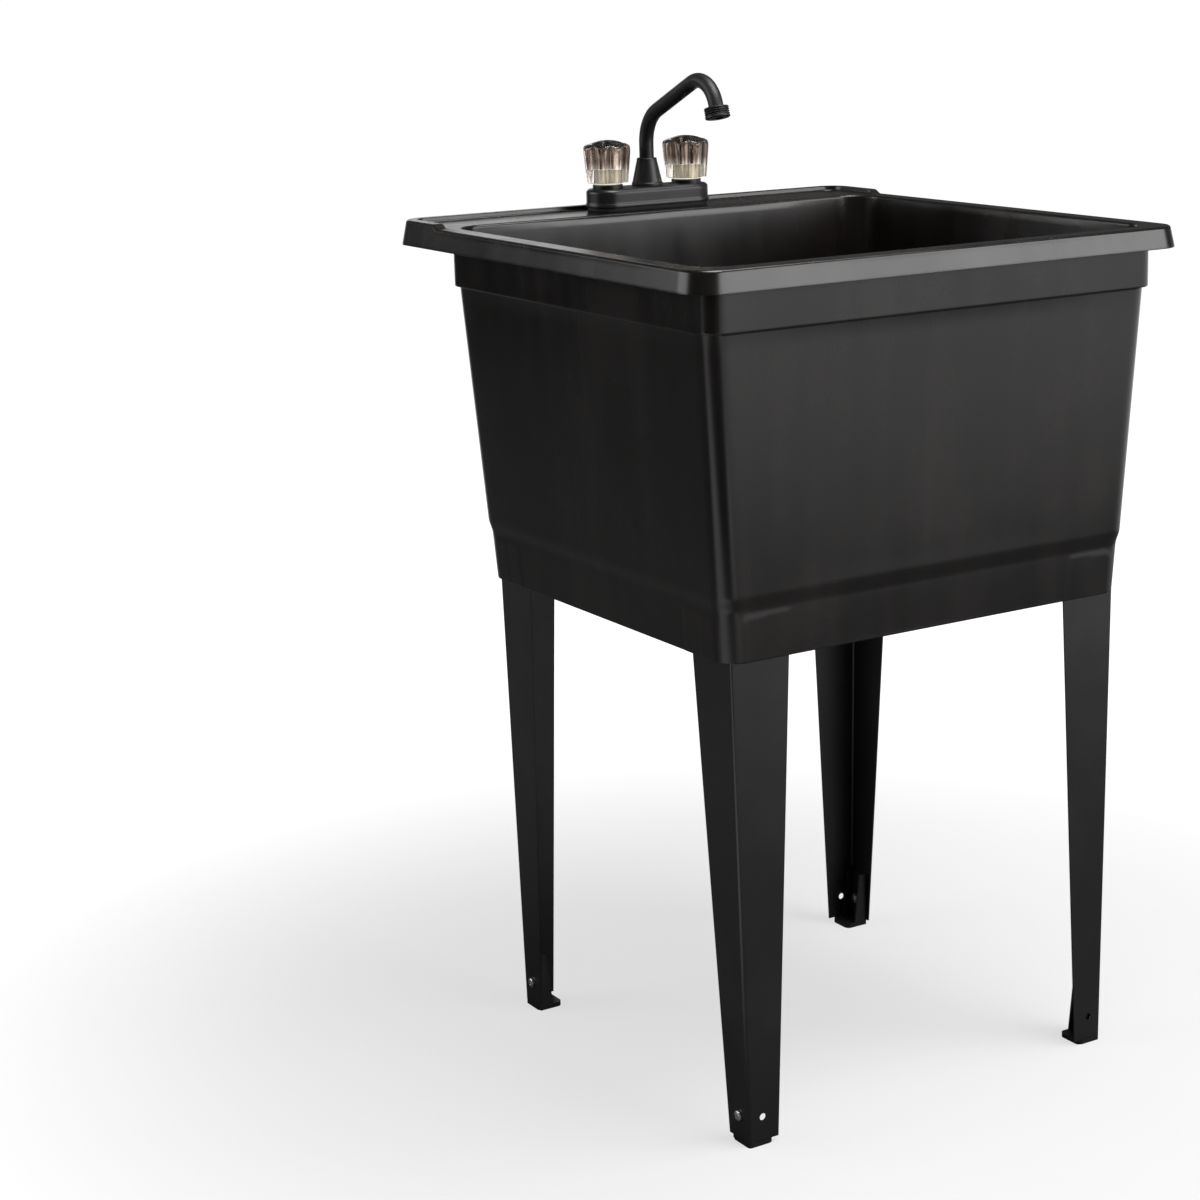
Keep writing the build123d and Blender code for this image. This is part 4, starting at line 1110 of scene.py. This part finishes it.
@dataclass
class LobedKnob:
    """Clear lobed knob with its pocket, screw hole and cap seat."""

    name: str
    axis_x: float
    base: float = 894.7
    height: float = 42.0
    radius: float = 27.0
    taper: float = 0.859
    lobes: int = 8
    lobe: float = 9.0
    valley_ease: float = 0.035
    limit_ease: float = 1.6
    limit_margin: float = 1.5
    shoulder: float = 8.0
    shoulder_turn: tuple = (84, 0, 14)
    brow: float = 19.0
    brow_gap: float = 0.6
    dome_rise: float = 4.0
    dome_steps: int = 9
    side_steps: int = 15
    foot: Triple = (0.8, 0.25, 18.5)
    pocket: Pair = (14.95, 909.6)
    pocket_edge: float = 0.4
    screw: Pair = (2.35, 934.9)
    head: Pair = (4.75, 938.2)
    cap: float = 8.65
    around: int = 192

    def _profile(self) -> np.ndarray:
        """Follow the limits of the form: dome, shoulder, side, base, pocket, hole and seats.

        Returns:
            Rows of radius and height.
        """
        top, limit = self.base + self.height, self.radius + self.limit_margin
        dome = (self.brow**2 + self.dome_rise**2) / (2 * self.dome_rise)
        reach = np.linspace(self.cap, self.brow - self.brow_gap, self.dome_steps)
        over = top + self.dome_rise - dome + np.sqrt(dome**2 - reach**2)
        turn = np.radians(np.linspace(*self.shoulder_turn))
        bend = np.stack([np.cos(turn), np.sin(turn) - 1], axis=1) * self.shoulder
        bend += (self.brow, top)
        rise, edge, sole = self.foot
        side = np.linspace(top - self.shoulder, self.base + rise, self.side_steps + 1)[1:]
        wall = np.stack([np.full(self.side_steps, limit), side], axis=1)
        (wide, roof), (narrow, seat), (mouth, ledge) = self.pocket, self.screw, self.head
        rows = [(limit, self.base + edge), (sole, self.base), (wide + self.pocket_edge, self.base)]
        rows += [(wide, self.base + self.pocket_edge), (wide, roof), (narrow, roof)]
        rows += [(narrow, seat), (mouth, seat), (mouth, ledge), (self.cap, ledge)]
        return np.concatenate([np.stack([reach, over], axis=1), bend, wall, rows])

    def build(self, wardrobe: "Wardrobe") -> None:
        """Make the knob.

        Its outline is eight lobes: p cos d + sqrt(a^2 - p^2 sin^2 d) at an angle d
        from the nearest lobe, with the valleys softened, scaled by the height, and
        it is held within the profile's own radius by a rounded minimum.

        Args:
            wardrobe: gives the finish.
        """
        profile, angle, period = self._profile(), full_turn(self.around), tau / self.lobes
        from_valley = np.abs((angle % period) - period / 2)
        delta = period / 2 - np.sqrt(from_valley**2 + self.valley_ease**2)
        pitch = self.radius - self.lobe
        lobed = pitch * np.cos(delta) + np.sqrt(self.lobe**2 - (pitch * np.sin(delta)) ** 2)
        limit, height = profile[:, :1], profile[:, 1:]
        scale = self.taper + (1 - self.taper) * (height - self.base) / self.height
        radius = lesser(lobed * scale, limit + 0 * angle, self.limit_ease)
        rings = turned(profile, angle, (self.axis_x, TAP_Y), radius)
        shape = Shape(f"{self.name}_knob_body", [rings])
        shape.build(wardrobe.look("knob_acrylic"), f"{self.name}_handle", f"{self.name}_knob")


@dataclass
class Spout:
    """Gooseneck spout tube and its threaded hose end."""

    radius: float = 8.0
    wall: float = 1.4
    foot: float = 878.0
    corner_z: float = 960.5
    reach: float = 132.0
    slope: float = 23.7
    tilt: float = 14.6
    drop: float = 50.0
    bends: Pair = (40.0, 34.0)
    bend_steps: int = 29
    end_runs: Pair = (3.0, 2.0)
    around: int = 40
    collar: tuple = ((9.8, 880.48, 0.3), (9.8, 882.08, 0.3), (7.5, 882.08, 0.1), (7.5, 880.48, 0.1))
    collar_around: int = 48
    outlet: Pair = (-8.8, 3.2)
    outlet_radius: float = 13.45
    outlet_edge: tuple = ((1.3, 0.0), (0.75, 0.12))
    outlet_tip: tuple = ((1.1, 0.15), (1.5, 0.0))
    outlet_bore: tuple = ((6.8, 3.2), (6.8, 0.2), (8.3, 0.2), (8.3, -8.8))
    outlet_around: int = 64
    thread_pitch: float = 2.3
    thread_depth: float = 1.15
    thread_rest: float = 0.1
    thread_ends: Pair = (0.9, 0.7)
    thread_fades: Triple = (0.8, 2.4, 1.0)
    thread_steps: int = 58
    thread_sharp: float = 60.0

    def _corners(self) -> np.ndarray:
        """Corners of the tube's middle line in its own upright plane.

        Returns:
            Rows of y and z.
        """
        slope, tilt = radians(self.slope), radians(self.tilt)
        far_y, far_z = TAP_Y - self.reach, self.corner_z + self.reach * tan(slope)
        end = (far_y - self.drop * sin(tilt), far_z - self.drop * cos(tilt))
        return np.array([(TAP_Y, self.foot), (TAP_Y, self.corner_z), (far_y, far_z), end])

    def _line(self) -> tuple[np.ndarray, np.ndarray]:
        """Middle line: straight runs joined by arcs.

        A bend of radius R at a corner turns the heading evenly from one run's to the
        next, so its points are the centre plus R times the turned unit normal.

        Returns:
            Points along the line and the heading angle at each.
        """
        corner = self._corners()
        run = np.diff(corner, axis=0)
        heading = np.unwrap(np.arctan2(run[:, 1], run[:, 0]))
        ahead = np.stack([np.cos(heading), np.sin(heading)], axis=1)
        first, last = self.end_runs
        points, angles = [corner[0], corner[0] + ahead[0] * first], [heading[0]] * 2
        for i, bend in enumerate(self.bends):
            change = heading[i + 1] - heading[i]
            start = corner[i + 1] - ahead[i] * bend * tan(abs(change) / 2)
            normal = np.array([-ahead[i][1], ahead[i][0]]) * np.sign(change)
            turn = heading[i] + np.linspace(0, change, self.bend_steps)
            out = np.stack([np.sin(turn), -np.cos(turn)], axis=1) * np.sign(change)
            points += list(start + normal * bend + out * bend)
            angles += list(turn)
        points += [corner[-1] - ahead[-1] * last, corner[-1]]
        angles += [heading[-1]] * 2
        return np.array(points), np.array(angles)

    def _sweep(self, radius: float) -> np.ndarray:
        """Rings about the line: P + r (cos a X + sin a N), X across the plane and N square to it.

        Args:
            radius: the rings' radius.

        Returns:
            Rings by points around.
        """
        line, heading = self._line()
        angle = full_turn(self.around)
        normal = np.stack([-np.sin(heading), np.cos(heading)], axis=1)[:, None, :]
        flat = line[:, None, :] + radius * np.sin(angle)[None, :, None] * normal
        across = np.broadcast_to(radius * np.cos(angle), flat.shape[:2])
        return np.concatenate([across[..., None], flat], axis=-1)

    def _hose_end(self) -> np.ndarray:
        """Threaded end: radius R - d (1 + cos(2 pi s / pitch - a)) / 2 at length s and angle a.

        Returns:
            Rings by points around, in the end's own axes.
        """
        (start, end), wide, angle = self.outlet, self.outlet_radius, full_turn(self.outlet_around)
        (lead, stop), (rise, tail, fall) = self.thread_ends, self.thread_fades
        length = np.linspace(start + lead, end - stop, self.thread_steps)
        edge = [(wide - inset, start + run) for inset, run in self.outlet_edge]
        side = np.stack([np.full(self.thread_steps, wide), length], axis=1)
        tip = [(wide - inset, end - run) for inset, run in self.outlet_tip]
        profile = np.concatenate([edge, side, tip, self.outlet_bore])
        along = profile[:, 1:]
        fade = smooth((along - start - lead) / rise) * smooth((end - tail - along) / fall)
        ridge = 0.5 + 0.5 * np.cos(tau * along / self.thread_pitch - angle)
        cut = self.thread_depth * (fade * ridge + self.thread_rest * (1 - fade))
        rings = turned(profile, angle)
        rings[..., :2] *= (1 - cut * np.isclose(profile[:, :1], wide) / wide)[..., None]
        return rings

    def build(self, wardrobe: "Wardrobe") -> None:
        """Make the tube with its swaged collar, and the hose end.

        Args:
            wardrobe: gives the finish.
        """
        look, tilt = wardrobe.look("spout_black"), radians(self.tilt)
        outer, inner = self._sweep(self.radius), self._sweep(self.radius - self.wall)
        tube = np.concatenate([outer, inner[::-1]])
        ring = turned(eased(self.collar), full_turn(self.collar_around), (0.0, TAP_Y))
        Shape("spout_tube", [tube, ring]).build(look, "swing_spout", "spout")
        origin, out = (0, *self._corners()[-1]), Vector((0, -sin(tilt), -cos(tilt)))
        end = framed(self._hose_end(), origin, out, Vector((1, 0, 0)))
        Shape("hose_thread_end", [end]).build(look, "swing_spout", "hose_outlet", self.thread_sharp)


@dataclass
class Tap:
    """Two-knob tap: gasket, body, collars, inserts, caps, spout and its nut.

    The turned pieces' profiles are rows of radius, height and the corner's ease.
    """

    centre: float = 50.8
    gasket: Pair = (864.0, 868.5)
    gasket_steps: tuple = ((3.0, 0.0), (2.4, 0.2), (2.05, 1.0), (2.0, 2.25))
    body: Pair = (868.5, 888.5)
    body_foot: tuple = (
        (3.0, 0), (0.9, 0), (0.3, 0.25), (0, 0.9), (0, 1.6), (0, 3.6), (0.15, 4), (0.75, 4.25),
        (0.85, 4.5), (0.85, 6), (0.85, 13.5), (0.85, 15),
    )
    body_crown: tuple = ((7.5, 0.28), (10.0, 0.22), (15.0, 0.1), (23.5, 0.0))
    body_arc: Triple = (0.85, 0.3, 4.5)
    arc_steps: int = 9
    collar: tuple = (
        (16.5, 888.3, 0.0), (16.5, 892.5, 0.9), (13.0, 892.5, 0.5), (12.2, 891.7, 0.3),
        (5.4, 891.7, 0.2), (5.4, 883.0, 0.2), (11.0, 883.0, 0.2), (11.0, 888.3, 0.0),
    )
    insert: tuple = (
        (14.7, 893.1, 0.5), (14.7, 909.6, 1.0), (5.4, 909.6, 0.3), (2.15, 909.4, 0.1),
        (2.15, 907.7, 0.1), (5.2, 907.7, 0.1), (5.2, 893.1, 0.3),
    )
    flutes: tuple = (168, 24, 1.3, (894.6, 909.0))
    cap: tuple = (
        (0, 938.25, 0), (7.9, 938.25, 0.2), (8.5, 938.8, 0.2), (8.5, 939.9, 0.35),
        (7.3, 940.1, 0.2), (6.6, 939.85, 0.2), (5.9, 940.25, 0.3), (0, 940.68, 0),
    )
    nut: tuple = (
        (13.0, 882.6, 0.3), (13.0, 888.4, 0.2), (17.25, 888.5, 0.4), (17.25, 891.6, 0.5),
        (16.5, 892.3, 0.4), (11.1, 916.2, 0.4), (11.1, 917.6, 0.5), (10.5, 918.5, 0.3),
        (8.35, 918.5, 0.1), (8.35, 882.6, 0.1),
    )

    def _gasket(self) -> SlotBlock:
        """Foam gasket that bulges a little under the body.

        Returns:
            The block, whose upper half mirrors its lower one.
        """
        low, high = self.gasket
        steps = [(inset, low + rise) for inset, rise in self.gasket_steps]
        steps += [(inset, high - rise) for inset, rise in self.gasket_steps[-2::-1]]
        return SlotBlock("tap_foam_gasket", "tap_gasket", "tap_gasket", steps)

    def _body(self) -> SlotBlock:
        """Body with a stepped foot, a rounded shoulder and a faint crown.

        Returns:
            The block.
        """
        low, high = self.body
        inset, fall, reach = self.body_arc
        turn = np.radians(np.linspace(0, 90, self.arc_steps))[1:]
        steps = [(step, low + rise) for step, rise in self.body_foot]
        rise = high - fall - reach
        steps += list(zip(inset + reach * (1 - np.cos(turn)), rise + reach * np.sin(turn)))
        steps += [(step, high - drop) for step, drop in self.body_crown]
        return SlotBlock("tap_moulded_body", "tap_black", "tap_body", steps)

    def _handle(self, name: str, x: float) -> list:
        """Pieces of one side.

        Args:
            name: hot or cold.
            x: its axis.

        Returns:
            Knob, valve collar, fluted insert and index cap.
        """
        body, insert, cap = f"{name}_handle", f"{name}_knob_insert", f"{name}_knob_cap"
        ring = (f"{name}_valve_collar", "tap_black", "root", f"{name}_collar", self.collar, x)
        core = (f"{name}_fluted_insert", "insert_cream", body, insert, self.insert, x, *self.flutes)
        disc = (f"{name}_index_cap", "knob_acrylic", body, cap, self.cap, x)
        return [LobedKnob(name, x), *(TurnedPiece(*row) for row in (ring, core, disc))]

    def build(self, wardrobe: "Wardrobe") -> None:
        """Make every piece of the tap.

        Args:
            wardrobe: gives the finishes.
        """
        nut = TurnedPiece("spout_cone_nut", "tap_black", "root", "spout_nut", self.nut)
        pieces = [self._gasket(), self._body(), nut, Spout()]
        pieces += self._handle("hot", -self.centre) + self._handle("cold", self.centre)
        for piece in pieces:
            piece.build(wardrobe)


@dataclass
class FootScrews:
    """Pan-head screws with a cross recess that clamp the feet to the legs."""

    fold_x: float = 225.3
    spots_y: Pair = (-241.9, 171.9)
    height: float = 29.5
    lean: float = 0.0208
    head: Pair = (5.25, 3.4)
    head_steps: int = 26
    rim: Triple = (0.35, 0.5, 0.3)
    dome: Pair = (0.42, 2.6)
    shank: float = 3.0
    tail: float = 10.6
    point: float = 0.6
    recess: Triple = (0.62, 2.7, 1.5)
    strip_ease: Pair = (0.12, 0.28)
    reach_ease: float = 0.5
    around: int = 96

    def _head(self) -> np.ndarray:
        """Head and shank: a dome h (1 - 0.42 (r/R)^2.6), cut by a cross of tapered slots.

        The cross is the lesser of the distances to two square strips, eased over a
        quarter of a millimetre and stopped at the recess's own radius.

        Returns:
            Rings by points around, in the screw's own axes.
        """
        (wide, tall), (half, reach, depth) = self.head, self.recess
        (gap, drop, edge), (fall, power) = self.rim, self.dome
        inner = np.linspace(0, wide - gap, self.head_steps)
        dome = tall * (1 - fall * (inner / wide) ** power)
        below = [(wide, dome[-1] - drop), (wide, edge), (wide - edge, 0.0), (self.shank, 0.0)]
        below += [(self.shank, self.point - self.tail), (self.shank - self.point, -self.tail)]
        profile = np.concatenate([np.stack([inner, dome], axis=1), below, [(0.0, -self.tail)]])
        rings = turned(profile, full_turn(self.around))
        x, y = np.abs(rings[..., 0]), np.abs(rings[..., 1])
        strip = smooth((half + self.strip_ease[0] - np.minimum(x, y)) / self.strip_ease[1])
        inside = strip * smooth((reach - np.hypot(x, y)) / self.reach_ease)
        inside[self.head_steps :] = 0.0
        rings[..., 2] -= depth * inside
        return rings

    def build(self, wardrobe: "Wardrobe") -> None:
        """Make the four screws as one piece.

        Args:
            wardrobe: gives the finish.
        """
        flat, side, screws = self._head(), Vector((0, 1, 0)), []
        for sign in (-1, 1):
            out = Vector((sign, 0, -self.lean)).normalized()
            for y in self.spots_y:
                screws.append(framed(flat, (sign * self.fold_x, y, self.height), out, side))
        Shape("foot_clamp_screws", screws).build(wardrobe.look("zinc"), "root", "foot_screws")


# ---------------------------------------------------------------- studio and camera
@dataclass(frozen=True)
class Softbox:
    """Rectangular soft lamp: its place, what it faces, its width, height and brightness."""

    name: str
    spot: Triple
    aim: Triple
    width: float
    height: float
    brightness: float

    def build(self) -> None:
        """Make the lamp; its power is brightness times pi times its area."""
        data = bpy.data.lights.new(self.name, "AREA")
        data.shape = "RECTANGLE"
        data.size, data.size_y = self.width, self.height
        data.energy = self.brightness * pi * self.width * self.height
        lamp = bpy.data.objects.new(self.name, data)
        lamp.location = self.spot
        facing = Vector(self.aim) - Vector(self.spot)
        lamp.rotation_euler = facing.to_track_quat("-Z", "Y").to_euler()
        bpy.context.scene.collection.objects.link(lamp)


@dataclass
class Studio:
    """Pale floor, white surroundings to the eye and soft lamps.

    Pairs of numbers say where a change starts and ends, in metres from the sink's middle.
    The pair called steep is measured in a ray's rise.
    """

    floor_half: float = 75.0
    floor_colour: Colour = (0.15, 0.15, 0.15)
    floor_seen: Colour = (0.26, 0.26, 0.26)
    floor_roughness: float = 0.8
    glow_near: Colour = (0.64, 0.64, 0.64)
    glow_reach: Pair = (0.5, 1.5)
    clear_reach: Pair = (2.0, 6.0)
    sweep_ahead: Pair = (1.5, 3.0)
    sweep_left: Pair = (0.0, 1.1)
    side_ahead: Pair = (0.35, 0.9)
    side_across: Pair = (0.2, 0.7)
    side_middle: float = 0.5
    line_ahead: Pair = (1.0, 1.8)
    line_across: Pair = (0.15, 0.4)
    line_middle: float = 0.5
    sweep_glow: float = 0.95
    surroundings: float = 0.08
    steep: Pair = (0.14, 0.42)
    quarters: tuple = (
        ("foot_front_left", -1, -1),
        ("foot_front_right", 1, -1),
        ("foot_back_left", -1, 1),
        ("foot_back_right", 1, 1),
    )
    lamps: tuple = (
        Softbox("overhead", (0.4, -0.7, 3.3), (0.0, -0.1, 0.0), 1.7, 1.7, 11.0),
        Softbox("front_right", (2.45, -3.65, 1.75), (0.0, 0.0, 0.8), 3.5, 1.7, 5.5),
        Softbox("left", (-3.2, 1.8, 1.8), (0.0, 0.0, 0.8), 3.0, 1.5, 3.2),
        Softbox("back", (1.0, 3.6, 1.5), (0.0, 0.0, 0.8), 1.6, 1.2, 1.0),
    )

    def build(self) -> None:
        """Make the floor, the world and the lamps."""
        self._world()
        self._floor()
        for lamp in self.lamps:
            lamp.build()

    def _world(self) -> None:
        """White to the eye, dim to light and reflections, and between them through clear pieces.

        A ray through a clear piece sees white near the horizon and a dim room above.
        """
        world = bpy.data.worlds.new("surroundings")
        bpy.context.scene.world = world
        world.use_nodes = True
        sky = NodeTree(world.node_tree)
        upright = sky.axes("Generated")[2].absolute()
        through = sky.ray("Transmission") * (1 - upright.ramp(*self.steep))
        white = through.most(sky.ray("Camera"))
        background = world.node_tree.nodes["Background"]
        sky.join(background.inputs["Color"], opaque(WHITE))
        sky.join(background.inputs["Strength"], white * (1 - self.surroundings) + self.surroundings)

    def _floor(self) -> None:
        """Wide pale floor in four quarters.

        Each quarter goes with the foot that stands on it, as an uneven floor lies
        where the feet have levelled the sink.
        """
        paint, half = self._floor_paint(), self.floor_half
        for body, x, y in self.quarters:
            mesh = bpy.data.meshes.new("floor_" + body)
            middle = Matrix.Translation((x * half, y * half, -half))
            work = bmesh.new()
            bmesh.ops.create_cube(work, size=2 * half, matrix=middle)
            work.to_mesh(mesh)
            work.free()
            mesh.materials.append(paint)
            quarter = bpy.data.objects.new(mesh.name, mesh)
            bpy.context.scene.collection.objects.link(quarter)
            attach(quarter, body)

    def _floor_paint(self) -> bpy.types.Material:
        """Pale paint that glows to white before the eye, but for the sink's own shadow.

        To mirror-like rays a white sweep shows behind and right of the sink, with a
        patch at its left and a line in front.

        Returns:
            The material.
        """
        shader = Shader("floor_paint")
        x, y, _ = shader.axes()
        distance = (x * x + y * y) ** 0.5
        through = shader.ray("Transmission") * distance.ramp(*self.clear_reach)
        seen = through.most(shader.ray("Camera"))
        glow = shader.mix(distance.ramp(*self.glow_reach), self.glow_near, WHITE)
        open_side = y.absolute().ramp(*self.sweep_ahead).most(x.ramp(*self.sweep_ahead))
        sweep = open_side * (1 - (0 - x).ramp(*self.sweep_left))
        off_side = (y + self.side_middle).absolute().ramp(*self.side_across)
        side = (0 - x).ramp(*self.side_ahead) * (1 - off_side)
        off_line = (x + self.line_middle).absolute().ramp(*self.line_across)
        line = (0 - y).ramp(*self.line_ahead) * (1 - off_line)
        sweep = sweep.most(side).most(line) * shader.ray("Glossy") * self.sweep_glow
        reflected = shader.mix(sweep, BLACK, WHITE)
        shader.set(Base_Color=shader.mix(seen, self.floor_colour, self.floor_seen))
        shader.set(Emission_Color=shader.mix(seen, reflected, glow), Emission_Strength=1.0)
        shader.set(Roughness=self.floor_roughness, Specular_IOR_Level=0.0)
        return shader.material


@dataclass
class PhotoCamera:
    """Camera at the photograph's viewing angle."""

    spot: Triple = (-1.49833, -2.19307, 1.13213)
    yaw: float = 32.943
    pitch: float = -13.166
    roll: float = -1.174
    image: float = 1200.0
    focal_pixels: float = 2577.4
    centre_pixels: Pair = (720.0, 560.0)
    sensor: float = 36.0

    def build(self) -> None:
        """Make the camera and set it as the scene's own."""
        yaw, pitch, roll = radians(self.yaw), radians(self.pitch), radians(self.roll)
        ahead = Vector((sin(yaw) * cos(pitch), cos(yaw) * cos(pitch), sin(pitch)))
        level = ahead.cross(Vector((0, 0, 1))).normalized()
        above = level.cross(ahead)
        right = level * cos(roll) + above * sin(roll)
        up = above * cos(roll) - level * sin(roll)
        data = bpy.data.cameras.new("photo_camera")
        data.sensor_width = self.sensor
        data.lens = self.focal_pixels / self.image * self.sensor
        data.shift_x = 0.5 - self.centre_pixels[0] / self.image
        data.shift_y = self.centre_pixels[1] / self.image - 0.5
        camera = bpy.data.objects.new("photo_camera", data)
        turn = Matrix((right, up, -ahead)).transposed().to_4x4()
        camera.matrix_world = Matrix.Translation(self.spot) @ turn
        bpy.context.scene.collection.objects.link(camera)
        bpy.context.scene.camera = camera


# ---------------------------------------------------------------- dressing the solids
class Paint(Enum):
    """The sink's finishes, each under its record slot's name in capitals."""

    TUB_PLASTIC = MouldedPlastic(
        "tub_plastic", (0.0052, 0.0040, 0.0035), (0.0138, 0.0108, 0.0096), 0.26, wave_depth=0.00018
    )
    LEG_COAT = PowderCoat(
        "leg_powder_coat", (0.0064, 0.0056, 0.0053), (0.0138, 0.0124, 0.0118), 0.32, density=1.62
    )
    FOOT_PLASTIC = MouldedPlastic(
        "foot_plastic", (0.006, 0.006, 0.006), (0.012, 0.012, 0.012), 0.45
    )
    TAP_BLACK = MouldedPlastic("tap_black", (0.011, 0.011, 0.0115), (0.02, 0.02, 0.021), 0.38)
    SPOUT_BLACK = MouldedPlastic(
        "spout_black", (0.009, 0.009, 0.0093), (0.015, 0.015, 0.0155), 0.48, grain_depth=0.000012
    )
    TAP_GASKET = Rubber("tap_gasket", (0.006, 0.006, 0.006), (0.014, 0.014, 0.014))
    # The third colour is painted shade for the valleys, streaks and shoulder; the fourth is a
    # painted paler foot.
    KNOB_ACRYLIC = SmokeAcrylic(
        "smoke_acrylic", (0.26, 0.20, 0.155), (0.42, 0.34, 0.28), (0.03, 0.02, 0.016),
        (0.8, 0.76, 0.68),
    )
    # The cream insert has a painted glow; it is no lamp.
    INSERT_CREAM = MouldedPlastic(
        "cream_insert", (0.84, 0.81, 0.70), (0.74, 0.71, 0.61), 0.45, glow=0.9
    )
    ZINC = PlainMetal("zinc_plate", (0.80, 0.81, 0.83), (0.62, 0.64, 0.67))
    STAINLESS = PlainMetal("stainless", (0.66, 0.67, 0.68), (0.5, 0.51, 0.52), 0.22)
    BRASS = PlainMetal("brass", (0.78, 0.58, 0.27), (0.6, 0.43, 0.18), 0.3)
    RUBBER = Rubber("black_rubber", (0.012, 0.012, 0.012), (0.035, 0.034, 0.033))
    FIBRE_WASHER = Rubber("fibre_washer", (0.42, 0.38, 0.3), (0.5, 0.46, 0.38))
    DRAIN_PLASTIC = MouldedPlastic("drain_plastic", (0.016, 0.016, 0.016), (0.03, 0.03, 0.03), 0.45)
    LOCKNUT_PLASTIC = MouldedPlastic("pale_plastic", (0.7, 0.7, 0.66), (0.6, 0.6, 0.57), 0.5)


@dataclass
class Wardrobe:
    """Builds each finish once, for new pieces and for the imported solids."""

    made: dict = field(default_factory=dict)

    def look(self, slot: str) -> Look:
        """Finish of a record slot, made at its first use.

        Args:
            slot: the record's name of the material.

        Returns:
            The material with its slot.
        """
        if slot not in self.made:
            self.made[slot] = Look(Paint[slot.upper()].value.build(), slot)
        return self.made[slot]

    def dress_nodes(self) -> None:
        """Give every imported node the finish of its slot."""
        for row in frame["record"]["subparts"]:
            node = frame["nodes"][row["node"]]
            node.data.materials.clear()
            node.data.materials.append(self.look(row["material_slot"]).material)


def main() -> None:
    """Build the studio, dress the solids and build the sink's own pieces."""
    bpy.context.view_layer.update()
    bpy.context.scene.view_settings.view_transform = "Standard"
    Studio().build()
    PhotoCamera().build()
    wardrobe = Wardrobe()
    wardrobe.dress_nodes()
    for piece in (Tub(), Tap(), FootScrews()):
        piece.build(wardrobe)
        log.info("built the %s", type(piece).__name__)


if __name__ == "__main__":
    main()
